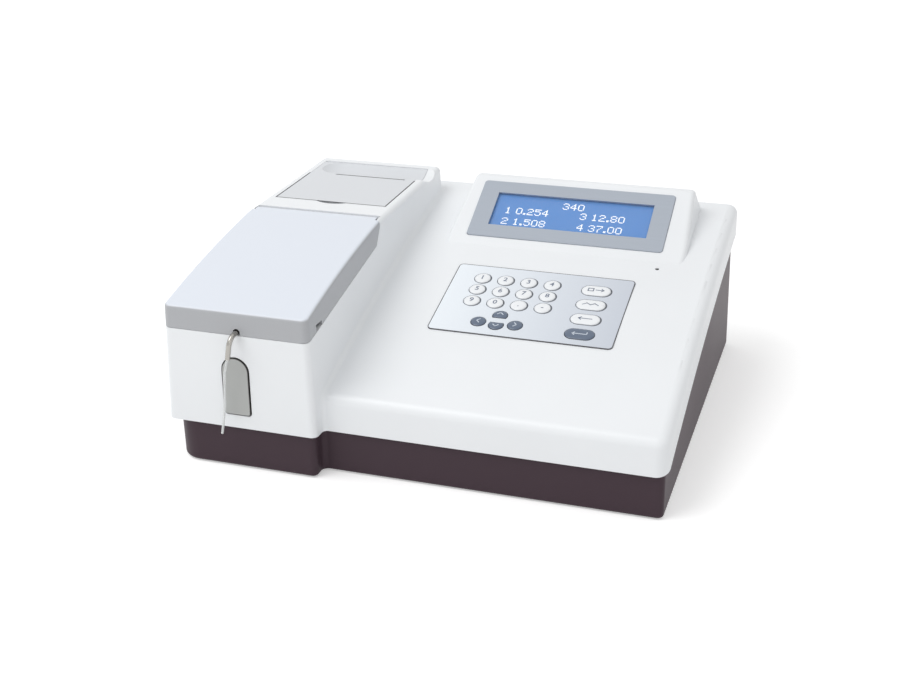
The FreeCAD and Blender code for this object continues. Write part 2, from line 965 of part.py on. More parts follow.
def cover_posts(outside):
    """Screw posts that hang from the cover down to the base tray's posts."""
    posts = []
    for name, (x, y) in screw_places.items():
        joint_z = post_foot_height
        low = upright_rod(post_radius, x, y, joint_z, seam_height(max(y, step_depth)) + wall)
        if name == "left_front":
            rib = box(x - wall / 2, x + wall / 2, wall, y, seam_front_height + wall, deck_height - wall * 2)
            low = upright_rod(post_radius, x, y, joint_z, deck_height - wall * 2)
            posts.append(low.fuse(rib))
        else:
            high = upright_rod(post_radius, x, y, joint_z, block_height)
            posts.append(low.fuse(high.common(outside)))
    return posts


def door_axis():
    return door_rear - door_bar_radius, block_height - door_bar_radius


def trough(radius, x1):
    """Scooped trough behind the tear slot, with a rounded left end."""
    centre_z = block_height + trough_radius - trough_sag
    half_chord = math.sqrt(trough_radius ** 2 - (trough_radius - trough_sag) ** 2)
    start = Vector(trough_left + half_chord, trough_centre_depth, centre_z)
    end = Vector(x1, trough_centre_depth, centre_z)
    return rod(radius, start, end).fuse(Part.makeSphere(radius, start))


def printer_well(cover, outside):
    """Bucket for the printer, hinge bores, finger notch and the trough's end in the block's rim."""
    x0 = door_left - door_gap
    x1 = door_right + door_gap
    y0 = door_front - door_gap
    y1 = door_rear + hinge_wall_gap
    bucket = box(
        x0 - well_wall,
        x1 + well_wall,
        y0 - well_wall,
        y1 + well_wall,
        well_floor_height - well_wall,
        block_height,
    )
    shoulder = box(
        x1, block_width, tear_slot_depth, y1 + well_wall, block_height - trough_sag - wall * 2, block_height
    )
    cover = cover.fuse([bucket.common(outside), shoulder.common(outside)])
    cover = cover.cut(box(x0, x1, y0, y1, well_floor_height, block_height + overrun))
    axis_y, axis_z = door_axis()
    bore = cross_rod(
        door_stub_radius + running_gap, axis_y, axis_z, x0 - well_wall - overrun, x1 + well_wall
    )
    cover = cover.cut(bore)
    notch_radius_long = (finger_chord ** 2 / 4 + finger_sag ** 2) / (2 * finger_sag)
    centre_y = door_front - finger_sag + notch_radius_long
    notch = Part.makeCylinder(
        notch_radius_long, finger_cut + overrun, Vector(finger_x, centre_y, block_height - finger_cut)
    )
    notch = notch.common(box(0, block_width, 0, door_front, 0, block_height + overrun))
    cover = cover.cut(notch)
    return cover.cut(
        trough(trough_radius, block_width + overrun).common(
            box(x1 - overrun, block_width + overrun, door_front, door_rear, 0, block_height + overrun)
        )
    )


def paddle_outline(margin):
    half = paddle_width / 2 + margin
    foot = paddle_foot - margin
    spring = paddle_foot + paddle_height - paddle_width / 2
    left = paddle_centre_x - half
    right = paddle_centre_x + half
    corner = paddle_corner_radius + margin
    path = rounded([(left, foot), (right, foot), (right, spring), (left, spring)], [corner, corner, 0, 0])
    return path[:-1] + [((paddle_centre_x, spring + half), (left, spring))]


def paddle_bosses():
    """Two bosses behind the front wall that carry the paddle's pin, and the switch's shelf."""
    inner = paddle_width / 2 + paddle_gap + small_gap
    outer = inner + boss_length
    size = boss_size / 2
    low = paddle_pivot_height - size
    high = paddle_pivot_height + size
    y0 = wall / 2
    y1 = paddle_pivot_depth + size
    x = paddle_centre_x
    left = box(x - outer, x - inner, y0, y1, low, high)
    right = box(x + inner, x + outer, y0, y1, low, high)
    shelf_half = switch_width / 2 + wall
    shelf_top = switch_foot()
    shelf_bottom = shelf_top - shelf_thickness
    shelf = box(x - shelf_half, x + shelf_half, y0, wall + shelf_depth, shelf_bottom, shelf_top)
    return [left, right, shelf]


def switch_foot():
    return paddle_foot - paddle_gap - small_gap


def top_cover():
    outside = cover_outside()
    cover = outside.cut([panel_body(wall, wall), block_hollow()])
    cover = cover.cut(housing_body(wall, panel_front_height + wall))
    cover = cover.fuse(cover_posts(outside))
    for x, y in screw_places.values():
        top = base_bottom + screw_sink + screw_length + small_gap
        cover = cover.cut(upright_rod(screw_radius, x, y, 0, top))
    cover = printer_well(cover, outside)

    ear_axis = Vector(0, lid_hinge_depth, lid_hinge_height)
    ear_left = Vector(tongue_inset - lid_stub_length - small_gap, 0, 0)
    ear_right = Vector(block_width - tongue_inset + lid_stub_length + small_gap, 0, 0)
    cover = cover.cut(rod(lid_stub_radius + running_gap, ear_axis + ear_left, ear_axis + ear_right))

    cover = cover.fuse([on_front(block) for block in paddle_bosses()])
    cover = cover.cut(on_front(front_prism(paddle_outline(paddle_gap), -overrun, wall + hair)))
    pin_half = paddle_width / 2 + overrun * 2
    pin_bore = cross_rod(
        paddle_pin_radius + running_gap,
        paddle_pivot_depth,
        paddle_pivot_height,
        paddle_centre_x - pin_half,
        paddle_centre_x + pin_half,
    )
    cover = cover.cut(on_front(pin_bore))

    recess = centred_rounded(
        keypad_half_width + small_gap, keypad_half_length + small_gap, keypad_corner_radius
    )
    cover = cover.cut(on_keypad(plan_prism(recess, -keypad_thickness, overrun)))
    ledge = keypad_ledge
    opening = centred_rectangle(keypad_half_width - ledge, keypad_half_length - ledge)
    cover = cover.cut(on_keypad(plan_prism(opening, -wall * 3, overrun)))
    standoffs = []
    for x, y in board_corners():
        post = upright_rod(standoff_radius, x, y, mat_top(), -keypad_thickness)
        standoffs.append(on_keypad(post))
    cover = cover.fuse(standoffs)

    bezel_hole = centred_rounded(
        bezel_width / 2 + small_gap, bezel_length / 2 + small_gap, bezel_corner_radius
    )
    cover = cover.cut(on_display(plan_prism(bezel_hole, -bezel_thickness, overrun)))
    half_width = window_width / 2 + window_lap + small_gap
    half_length = window_length / 2 + window_lap + small_gap
    view = centred_rectangle(half_width, half_length)
    cover = cover.cut(on_display(plan_prism(view, -wall * 3, overrun)))

    led_z = height_on(panel_arc, led_depth)
    led_hole = upright_rod(led_radius + small_gap / 2, led_x, led_depth, led_z - led_length, led_z + overrun)
    cover = cover.cut(led_hole)
    return cover.removeSplitter()


# Rear panel with its inlet, rocker and port, all drawn flat and leaned with the base's rear wall.
def rear_panel():
    plate = front_prism(
        rectangle(panel_plate_left, panel_plate_right, panel_plate_bottom, panel_plate_top),
        -panel_plate_thickness,
        0,
    )
    half = inlet_width / 2 - inlet_body_inset + small_gap
    foot = inlet_foot + inlet_body_inset - small_gap
    top = inlet_foot + inlet_height - inlet_body_inset + small_gap
    plate = plate.cut(front_prism(rectangle(inlet_x - half, inlet_x + half, foot, top), -overrun, overrun))
    port_half = serial_shell_width / 2 + small_gap + serial_shell_lean
    port_rise = serial_shell_height / 2 + small_gap
    port_z = serial_foot + serial_height / 2
    plate = plate.cut(
        front_prism(
            rectangle(serial_x - port_half, serial_x + port_half, port_z - port_rise, port_z + port_rise),
            -overrun,
            overrun,
        )
    )
    for index in range(vent_count):
        x = vent_left + index * vent_pitch
        slot = rounded_rectangle(
            x, x + vent_width, vent_foot, vent_foot + vent_height, vent_width / 2 - hair
        )
        plate = plate.cut(front_prism(slot, -overrun, overrun))
    return on_rear(plate)


def mains_inlet():
    half = inlet_width / 2
    flange = front_prism(
        rounded_rectangle(inlet_x - half, inlet_x + half, inlet_foot, inlet_foot + inlet_height, wall),
        0,
        inlet_flange,
    )
    body_half = half - inlet_body_inset
    foot = inlet_foot + inlet_body_inset
    top = inlet_foot + inlet_height - inlet_body_inset
    body = front_prism(rectangle(inlet_x - body_half, inlet_x + body_half, foot, top), -inlet_body_depth, 0)
    inlet = flange.fuse(body)
    low = inlet_foot + socket_foot
    high = low + socket_height
    left = inlet_x - socket_width / 2
    right = inlet_x + socket_width / 2
    cut = socket_chamfer
    mouth = [
        (left, low),
        (right, low),
        (right, high - cut),
        (right - cut, high),
        (left + cut, high),
        (left, high - cut),
    ]
    inlet = inlet.cut(front_prism(mouth, -socket_depth, inlet_flange + overrun))
    middle = (low + high) / 2
    pins = []
    for offset, rise in (
        (-socket_pin_pitch, -socket_pin_drop / 2),
        (0, socket_pin_drop / 2),
        (socket_pin_pitch, -socket_pin_drop / 2),
    ):
        x0 = inlet_x + offset - socket_pin_width / 2
        z0 = middle + rise - socket_pin_height / 2
        pins.append(
            box(
                x0,
                x0 + socket_pin_width,
                -socket_depth - hair,
                -socket_depth + socket_pin_length,
                z0,
                z0 + socket_pin_height,
            )
        )
    inlet = inlet.fuse(pins)
    rocker_low = inlet_foot + rocker_foot
    well_half = rocker_width / 2 + rocker_gap
    well = rectangle(
        inlet_x - well_half,
        inlet_x + well_half,
        rocker_low - rocker_gap,
        rocker_low + rocker_height + rocker_gap,
    )
    inlet = inlet.cut(front_prism(well, -rocker_depth - rocker_gap * 3, inlet_flange + overrun))
    pin_reach = rocker_width / 2 + rocker_pin_length + small_gap
    pin_z = rocker_low + rocker_height / 2
    bore = cross_rod(
        rocker_pin_radius + running_gap, rocker_axis_depth(), pin_z, inlet_x - pin_reach, inlet_x + pin_reach
    )
    return on_rear(inlet.cut(bore).removeSplitter())


def rocker_axis_depth():
    return -rocker_depth / 2


def power_rocker():
    """Rocker with two faces that meet in a shallow valley, drawn level and then tipped."""
    low = inlet_foot + rocker_foot
    middle = low + rocker_height / 2
    half = rocker_height / 2
    rise = half * math.tan(math.radians(rocker_tip))
    bottom_half = half - rocker_depth * math.tan(math.radians(rocker_tip)) * 2
    face = inlet_flange
    end_lean = (face + rise - rocker_axis_depth()) * math.tan(math.radians(rocker_tip))
    path = [
        (-rocker_depth, middle - bottom_half),
        (0, low),
        (face + rise, low + end_lean),
        (face, middle),
        (face + rise, low + rocker_height - end_lean),
        (0, low + rocker_height),
        (-rocker_depth, middle + bottom_half),
    ]
    body = side_prism(path, inlet_x - rocker_width / 2, inlet_x + rocker_width / 2)
    reach = rocker_width / 2 + rocker_pin_length
    axis_y = rocker_axis_depth()
    pin = cross_rod(rocker_pin_radius, axis_y, middle, inlet_x - reach, inlet_x + reach)
    rocker = body.fuse(pin).removeSplitter()
    rocker.rotate(Vector(inlet_x, axis_y, middle), Vector(1, 0, 0), rocker_tip)
    return on_rear(rocker)


def serial_port():
    half = serial_width / 2
    flange = front_prism(
        rounded_rectangle(
            serial_x - half, serial_x + half, serial_foot, serial_foot + serial_height, wall / 2
        ),
        0,
        serial_flange,
    )
    middle = serial_foot + serial_height / 2

    def d_outline(inset):
        wide = serial_shell_width / 2 - inset
        rise = serial_shell_height / 2 - inset
        lean = serial_shell_lean
        return [
            (serial_x - wide + lean, middle - rise),
            (serial_x + wide - lean, middle - rise),
            (serial_x + wide, middle + rise),
            (serial_x - wide, middle + rise),
        ]

    shell = front_prism(d_outline(0), 0, serial_flange + serial_shell_reach)
    body = front_prism(d_outline(0), -serial_body_depth, 0)
    port = joined(flange, shell, body)
    port = port.cut(
        front_prism(
            d_outline(serial_shell_wall), serial_flange, serial_flange + serial_shell_reach + overrun
        )
    )
    return on_rear(port)


# Display parts, drawn flat and tilted with the housing's face.
def display_bezel():
    outline = centred_rounded(bezel_width / 2, bezel_length / 2, bezel_corner_radius)
    plate = plan_prism(outline, -bezel_thickness, 0)
    plate = plate.makeChamfer(small_gap * 2, edges_where(plate, lambda p: abs(p.z) < hair))
    half_width = window_width / 2
    half_length = window_length / 2
    plate = plate.cut(centred_box(half_width, half_length, -overrun, overrun))
    lap = window_lap + small_gap
    rabbet = centred_box(half_width + lap, half_length + lap, -overrun, -bezel_thickness + window_thickness)
    return on_display(plate.cut(rabbet))


def display_window():
    half_width = window_width / 2 + window_lap
    half_length = window_length / 2 + window_lap
    return on_display(
        centred_box(half_width, half_length, -bezel_thickness, -bezel_thickness + window_thickness)
    )


def lcd_module():
    """Glass and metal frame behind the window, on its circuit board."""
    half_width = window_width / 2 + window_lap
    half_length = window_length / 2 + window_lap
    face = -bezel_thickness - small_gap
    glass = centred_box(half_width, half_length, face - wall - module_step, face)
    board_top = face - wall - module_step
    board = centred_box(module_width / 2, module_length / 2, board_top - board_thickness, board_top)
    back = centred_box(
        module_width / 3,
        module_length / 4,
        board_top - board_thickness - module_step,
        board_top - board_thickness,
    )
    return on_display(joined(glass, board, back))


def status_led():
    top = height_on(panel_arc, led_depth) - small_gap
    lens = upright_rod(led_radius, led_x, led_depth, top - led_length, top)
    return lens


# Keypad: plate, twenty keys and the board that they press.
def key_bottom():
    return -key_length - keypad_thickness


def mat_top():
    return key_bottom() - key_travel - small_gap / 2


def board_corners():
    x = keypad_half_width - standoff_inset / 2
    y = keypad_half_length - standoff_inset / 2
    return [(-x, -y), (x, -y), (x, y), (-x, y)]


def stadium(length, width):
    return centred_rounded(length / 2, width / 2, width / 2 - hair)


def round_outline(radius):
    return [(-radius, 0), ((0, -radius), (radius, 0)), ((0, radius), (-radius, 0))]


def flat_round_outline(radius, flat, side):
    """Round key cut flat on the side that faces its opposite arrow."""
    reach = math.sqrt(radius ** 2 - flat ** 2)
    return [(-reach, -side * flat), ((0, side * radius), (reach, -side * flat))]


def key_shapes():
    """Name, local place and outline of each key; an outline grows by the given margin."""
    names = [
        "key_1",
        "key_2",
        "key_3",
        "key_4",
        "key_5",
        "key_6",
        "key_7",
        "key_8",
        "key_9",
        "key_0",
        "key_point",
        "key_extra",
    ]
    keys = []
    for index, name in enumerate(names):
        x = key_first_x + (index % key_columns) * key_pitch_x
        y = key_first_y - (index // key_columns) * key_pitch_y
        keys.append((name, x, y, lambda m: round_outline(key_radius + m)))
    arrows = [
        ("arrow_up", 0, arrow_rise, lambda m: flat_round_outline(arrow_radius + m, arrow_flat + m, 1)),
        ("arrow_left", -arrow_side_x, -arrow_side_drop, lambda m: round_outline(arrow_radius + m)),
        ("arrow_down", 0, -arrow_rise, lambda m: flat_round_outline(arrow_radius + m, arrow_flat + m, -1)),
        ("arrow_right", arrow_side_x, -arrow_side_drop, lambda m: round_outline(arrow_radius + m)),
    ]
    for name, x, y, outline in arrows:
        keys.append((name, arrow_centre_x + x, arrow_centre_y + y, outline))
    for index in range(wide_key_count):
        y = wide_key_first_y - index * wide_key_pitch
        outline = lambda m: stadium(wide_key_length + 2 * m, wide_key_width + 2 * m)
        keys.append((f"wide_key_{index + 1}", wide_key_x, y, outline))
    return keys


def keypad_plate():
    outline = centred_rounded(keypad_half_width, keypad_half_length, keypad_corner_radius)
    plate = plan_prism(outline, -keypad_thickness, 0)
    holes = []
    for name, x, y, key_outline in key_shapes():
        hole = plan_prism(key_outline(key_gap), -overrun, overrun)
        holes.append(hole.translated(Vector(x, y, 0)))
    return on_keypad(plate.cut(holes))


def key_solid(x, y, outline):
    cap = plan_prism(outline(0), -keypad_thickness - small_gap, key_proud)
    cap = cap.makeChamfer(key_edge, edges_where(cap, lambda p: abs(p.z - key_proud) < hair))
    flange = plan_prism(outline(key_flange), key_bottom(), -keypad_thickness - small_gap)
    return on_keypad(joined(cap, flange).translated(Vector(x, y, 0)))


def keypad_board():
    top = mat_top()
    mat = centred_box(
        keypad_half_width - keypad_ledge, keypad_half_length - keypad_ledge, top - mat_thickness, top - hair
    )
    corners = centred_box(
        keypad_half_width, keypad_half_length, top - mat_thickness - board_thickness, top - mat_thickness
    )
    pads = []
    for x, y in board_corners():
        pads.append(upright_rod(standoff_radius, x, y, top - mat_thickness - hair, top))
    return on_keypad(joined(mat, corners, *pads))


# Lid of the sample bay: shell with a hinge tongue at its rear.
def lid_side(drop, bottom_rise, rear_gap):
    path = [(-overrun, height_on(rim_arc, -overrun) + bottom_rise)]
    end = rim_rear_depth - rear_gap
    path.append(arc_step(rim_arc, -overrun, end, rise=bottom_rise))
    path.append((ear_knee_depth - rear_gap, ear_knee_height + bottom_rise / 2))
    path.append((ear_top_depth - rear_gap, height_on(lid_arc, ear_top_depth - rear_gap, drop)))
    path.append(arc_step(lid_arc, ear_top_depth - rear_gap, -overrun, drop=drop))
    return side_prism(path, -overrun, block_width + overrun)


def sample_lid():
    outer = lid_side(0, lid_gap, lid_gap).common(block_plan(0, seam_front_height, block_height + overrun))

    def on_top(p):
        return abs(p.z - height_on(lid_arc, p.y)) < hair * 10 and p.y < ear_top_depth - lid_gap - hair

    outer = outer.makeFillet(lid_edge_radius, edges_where(outer, on_top))
    tongue_front = rim_rear_depth
    tongue = [
        (tongue_front, height_on(lid_arc, tongue_front)),
        arc_step(lid_arc, tongue_front, lid_hinge_depth),
        (
            (lid_hinge_depth + lid_hinge_radius, lid_hinge_height),
            (lid_hinge_depth, lid_hinge_height - lid_hinge_radius),
        ),
        (tongue_front, height_on(lid_arc, tongue_front) - lid_wall * 2),
    ]
    left = tongue_inset
    right = block_width - tongue_inset
    hinge_tongue = side_prism(tongue, left, right)
    hollow = lid_side(lid_wall, -overrun, ear_top_depth - rim_rear_depth)
    hollow = hollow.common(block_plan(lid_wall, seam_front_height, block_height + overrun))
    lid = outer.cut(hollow).fuse(hinge_tongue)
    axis = Vector(0, lid_hinge_depth, lid_hinge_height)
    stub = lid_stub_length
    lid = lid.fuse(rod(lid_stub_radius, axis + Vector(left - stub, 0, 0), axis + Vector(right + stub, 0, 0)))
    notch_z = rim_front_height + lid_gap
    tube_notch = deep_rod(notch_radius, sleeve_x, notch_z + notch_radius, -overrun, overrun * 2)
    tube_way = box(
        sleeve_x - notch_radius,
        sleeve_x + notch_radius,
        -overrun,
        overrun * 2,
        notch_z - overrun,
        notch_z + notch_radius,
    )
    grip_z = height_on(rim_arc, grip_notch_depth)
    grip = box(
        block_width - lid_wall * 3,
        block_width + overrun,
        grip_notch_depth,
        grip_notch_depth + grip_notch_length,
        grip_z - overrun,
        grip_z + grip_notch_height,
    )
    return lid.cut([tube_notch, tube_way, grip]).removeSplitter()


# Sample bay: deck with the pump and the flow cell standing in it.
def tray_side(bottom, front_y, rear_y, rise):
    end = min(rim_rear_depth, rear_y)
    path = [(front_y, bottom), (rear_y, bottom), (rear_y, height_on(rim_arc, end) - tray_drop + rise)]
    path.append((end, height_on(rim_arc, end) - tray_drop + rise))
    path.append(arc_step(rim_arc, end, front_y, rise=rise - tray_drop))
    return side_prism(path, 0, block_width)


def bay_tray():
    bottom = deck_height - deck_thickness
    limits = wall + tray_gap
    outer = tray_side(bottom, 0, tray_rear_depth, 0).common(block_plan(limits, 0, block_height))
    pocket = tray_side(deck_height, 0, tray_rear_depth - tray_wall, overrun)
    pocket = pocket.common(block_plan(limits + tray_wall, 0, block_height))
    tray = outer.cut(pocket)
    neck = box(
        beam_x - neck_width / 2 - small_gap,
        beam_x + neck_width / 2 + small_gap,
        neck_front - small_gap,
        neck_rear + small_gap,
        0,
        block_height,
    )
    shaft = upright_rod(rotor_shaft_radius + wall / 2, pump_x, pump_depth, 0, block_height)
    drop_x = pump_x + pump_tube_circle
    drop = upright_rod(tube_radius + small_gap, drop_x, tube_drop_depth, 0, block_height)
    return tray.cut([neck, shaft, drop]).removeSplitter()


def photometer_block():
    """Optical bench with a tower for the cell and a tower for the lamp, bored along the beam."""
    half = tower_width / 2
    bench = box(bench_left, bench_right, bench_front, bench_rear, floor_top, floor_top + bench_thickness)
    tower_top = deck_height - deck_thickness - small_gap
    tower = box(beam_x - half, beam_x + half, tower_front, tower_rear, floor_top, tower_top)
    neck_half = neck_width / 2
    neck = box(beam_x - neck_half, beam_x + neck_half, neck_front, neck_rear, floor_top, neck_height)
    lamp_tower = box(
        beam_x - half, beam_x + half, lamp_tower_front, bench_rear, floor_top, lamp_tower_height
    )
    block = joined(bench, tower, neck, lamp_tower)
    beam = deep_rod(beam_radius, beam_x, beam_height, tower_front - overrun, bench_rear + overrun)
    lamp_bore = deep_rod(lamp_radius + small_gap, beam_x, beam_height, lamp_seat_depth, bench_rear + overrun)
    size = cell_size / 2 + cell_gap
    socket = box(
        beam_x - size,
        beam_x + size,
        cell_depth - size,
        cell_depth + size,
        cell_bottom,
        neck_height + overrun,
    )
    can_bore = deep_rod(
        can_radius + small_gap,
        beam_x,
        beam_height,
        tower_front - overrun,
        tower_front + can_length + small_gap,
    )
    return block.cut([beam, lamp_bore, socket, can_bore])


def halogen_lamp():
    front = lamp_seat_depth + bulb_length + bulb_radius + small_gap
    rear = bench_rear
    base = deep_rod(lamp_radius, beam_x, beam_height, front, rear + lamp_flange)
    flange = deep_rod(lamp_flange_radius, beam_x, beam_height, rear, rear + lamp_flange)
    bulb = Part.makeSphere(bulb_radius, Vector(beam_x, front - bulb_length / 2, beam_height))
    return joined(base, flange, bulb)


def wheel_axis_height():
    return beam_height - filter_circle


def filter_wheel():
    """Disc with a ring of filter holes, turning on its own shaft in the motor."""
    z = wheel_axis_height()
    rear = wheel_front + wheel_thickness
    disc = deep_rod(wheel_radius, beam_x, z, wheel_front, rear)
    hub = deep_rod(wheel_hub_radius, beam_x, z, wheel_front, motor_front() - small_gap)
    shaft = deep_rod(wheel_shaft_radius, beam_x, z, wheel_front, motor_front() + wheel_shaft_length)
    wheel = joined(disc, hub, shaft)
    holes = [
        deep_rod(filter_radius, x, y, wheel_front - overrun, rear + overrun) for x, y in filter_places()
    ]
    return wheel.cut(holes)


def motor_front():
    return lamp_tower_front - motor_length


def filter_places():
    places = []
    for index in range(filter_count):
        turn = 2 * math.pi * index / filter_count
        x = beam_x + filter_circle * math.sin(turn)
        z = wheel_axis_height() + filter_circle * math.cos(turn)
        places.append((x, z))
    return places


def filter_set():
    start = wheel_front + (wheel_thickness - filter_thickness) / 2
    return [deep_rod(filter_radius, x, z, start, start + filter_thickness) for x, z in filter_places()]


def filter_motor():
    z = wheel_axis_height()
    half = motor_size / 2
    path = rounded_rectangle(beam_x - half, beam_x + half, z - half, z + half, wall)
    body = front_prism(path, motor_front(), lamp_tower_front)
    bore_end = motor_front() + wheel_shaft_length + small_gap
    return body.cut(deep_rod(wheel_shaft_radius + running_gap, beam_x, z, motor_front() - overrun, bore_end))


def flow_cell():
    """Square glass cell in its socket, with the cap that takes the tubes."""
    half = cell_size / 2
    stem = box(beam_x - half, beam_x + half, cell_depth - half, cell_depth + half, cell_bottom, neck_height)
    cap_half = cap_width / 2
    cap = box(
        beam_x - cap_half,
        beam_x + cap_half,
        cell_depth - cap_length / 2,
        cell_depth + cap_length / 2,
        neck_height,
        tube_out_height + cap_height / 2,
    )
    cell = joined(stem, cap)
    inlet = deep_rod(
        sleeve_radius, sleeve_x, sleeve_height, cell_depth - cap_length, cell_depth - cap_length / 4
    )
    outlet = cross_rod(
        tube_radius, cell_depth, tube_out_height, beam_x - cap_width, beam_x - cap_half + wall
    )
    return cell.cut([inlet, outlet])


def detector_board():
    half = detector_width / 2
    low = beam_height - detector_height / 2
    high = beam_height + detector_height / 2
    board = box(beam_x - half, beam_x + half, tower_front - board_thickness, tower_front, low, high)
    can = deep_rod(can_radius, beam_x, beam_height, tower_front - hair, tower_front + can_length)
    return joined(board, can)


def pump_motor():
    top = deck_height - deck_thickness
    body = upright_rod(pump_motor_radius, pump_x, pump_depth, top - pump_motor_length, top)
    bore_bottom = rotor_foot() - rotor_shaft_length - small_gap
    bore = upright_rod(rotor_shaft_radius + running_gap, pump_x, pump_depth, bore_bottom, top + overrun)
    return body.cut(bore)


def rotor_foot():
    return deck_height + pump_head_floor + rotor_lift


def pump_head():
    """Horseshoe track, open to the rear where the tube goes in and out."""
    inner = pump_tube_circle + tube_radius + pump_head_clearance
    outer = inner + pump_head_wall
    rear = pump_depth + pump_head_reach

    def horseshoe(radius, z0, z1, y1):
        round_part = upright_rod(radius, pump_x, pump_depth, z0, z1)
        return round_part.fuse(box(pump_x - radius, pump_x + radius, pump_depth, y1, z0, z1))

    head = horseshoe(outer, deck_height, deck_height + pump_head_height, rear)
    floor_z = deck_height + pump_head_floor
    head = head.cut(horseshoe(inner, floor_z, deck_height + pump_head_height + overrun, rear + overrun))
    shaft_way = upright_rod(rotor_shaft_radius + wall / 2, pump_x, pump_depth, 0, block_height)
    return head.cut(shaft_way).removeSplitter()


def roller_places():
    places = []
    for index in range(roller_count):
        turn = 2 * math.pi * index / roller_count
        places.append((pump_x + roller_circle * math.sin(turn), pump_depth - roller_circle * math.cos(turn)))
    return places


def pump_rotor():
    foot = rotor_foot()
    top = foot + rotor_height
    centre = Vector(pump_x, pump_depth, 0)

    def disc(radius, z0, z1):
        return rod(radius, centre + Vector(0, 0, z0), centre + Vector(0, 0, z1))

    parts = [
        disc(rotor_radius, top - rotor_disc, top),
        disc(rotor_hub_radius, foot, top),
        disc(rotor_knob_radius, top, top + rotor_knob_height),
        disc(rotor_shaft_radius, foot - rotor_shaft_length, foot + hair),
    ]
    for x, y in roller_places():
        parts.append(upright_rod(roller_pin_radius, x, y, foot + rotor_disc - hair, top - rotor_disc + hair))
    return joined(disc(rotor_radius, foot, foot + rotor_disc), *parts)


def pump_roller(x, y):
    z0 = rotor_foot() + rotor_disc + roller_end_gap
    z1 = rotor_foot() + rotor_height - rotor_disc - roller_end_gap
    body = upright_rod(roller_radius, x, y, z0, z1)
    return body.cut(upright_rod(roller_pin_radius + running_gap, x, y, z0 - overrun, z1 + overrun))


def pump_tube():
    """From the flow cell's cap, round the pump's track, through the deck and out of the left wall."""
    left = pump_x - pump_tube_circle
    right = pump_x + pump_tube_circle
    front = pump_depth - pump_tube_circle
    head_rear = pump_depth + pump_head_reach
    points = [
        Vector(beam_x - cap_width / 2 + wall, cell_depth, tube_out_height),
        Vector(left, cell_depth, tube_out_height),
        Vector(left, head_rear, tube_run_height),
        Vector(left, front, tube_run_height),
        Vector(right, front, tube_run_height),
        Vector(right, tube_drop_depth, tube_run_height),
        Vector(right, tube_drop_depth, tube_floor_height),
        Vector(base_overhang, tube_drop_depth, tube_floor_height),
    ]
    bends = [
        tube_left_bend,
        tube_small_bend,
        pump_tube_circle - hair,
        pump_tube_circle - hair,
        tube_small_bend,
        tube_small_bend,
    ]
    return bent_tube(points, bends, tube_radius)


# Aspiration route: steel sleeve over the rim and the capillary that hangs from it.
def sleeve_points():
    return [
        Vector(sleeve_x, cell_depth - cap_length / 4, sleeve_height),
        Vector(sleeve_x, -sleeve_front, sleeve_height),
        Vector(sleeve_end_x, -sleeve_front, sleeve_end_height),
    ]


def capillary_path():
    """Route of the hanging tube from inside the sleeve to its tip, in shares of its drop."""
    start = sleeve_points()[2]
    drift_shares = (0, -0.06, -0.09, -0.16)
    drop_shares = (0, 0.2, 0.62, 1)
    drop = sleeve_end_height - seam_front_height + capillary_radius * 2
    points = []
    for drift, fall in zip(drift_shares, drop_shares):
        points.append(start + Vector(drift * drop, 0, -fall * drop))
    direction = (sleeve_points()[1] - start).normalize()
    points[0] = start + direction * (sleeve_bend / 2)
    return points


def aspiration_sleeve():
    sleeve = bent_tube(sleeve_points(), [sleeve_bend], sleeve_radius)
    points = capillary_path()
    direction = (points[1] - points[0]).normalize()
    return sleeve.cut(rod(capillary_radius, points[0], points[0] + direction * (sleeve_bend * 2)))


def aspiration_capillary():
    points = capillary_path()
    bend = (sleeve_end_height - seam_front_height) / 2
    return bent_tube(points, [bend, bend], capillary_radius)


def aspirate_paddle():
    face = -paddle_proud
    plate = front_prism(paddle_outline(0), face, face + paddle_thickness)
    plate = plate.makeFillet(small_gap * 4, edges_where(plate, lambda p: abs(p.y - face) < hair))
    half = paddle_rib_width / 2
    rise = paddle_rib_height / 2
    z = paddle_pivot_height
    rib = box(
        paddle_centre_x - half,
        paddle_centre_x + half,
        face + paddle_thickness,
        paddle_pivot_depth + rise / 2,
        z - rise,
        z + rise,
    )
    reach = paddle_width / 2 + paddle_gap + boss_length
    pin = cross_rod(
        paddle_pin_radius, paddle_pivot_depth, z, paddle_centre_x - reach, paddle_centre_x + reach
    )
    return on_front(joined(plate, rib, pin))


def paddle_switch():
    """Small switch whose button waits just behind the paddle when it is pushed right in."""
    half = switch_width / 2
    low = switch_foot()
    high = low + switch_height
    button_z = (low + high) / 2
    press = (paddle_pivot_height - button_z) * math.tan(math.radians(paddle_swing))
    tip = paddle_thickness - paddle_proud + press + small_gap
    front = tip + switch_button_reach
    x = paddle_centre_x
    body = box(x - half, x + half, front, front + switch_depth, low, high)
    button = deep_rod(switch_button, x, button_z, tip, front + hair)
    return on_front(joined(body, button))


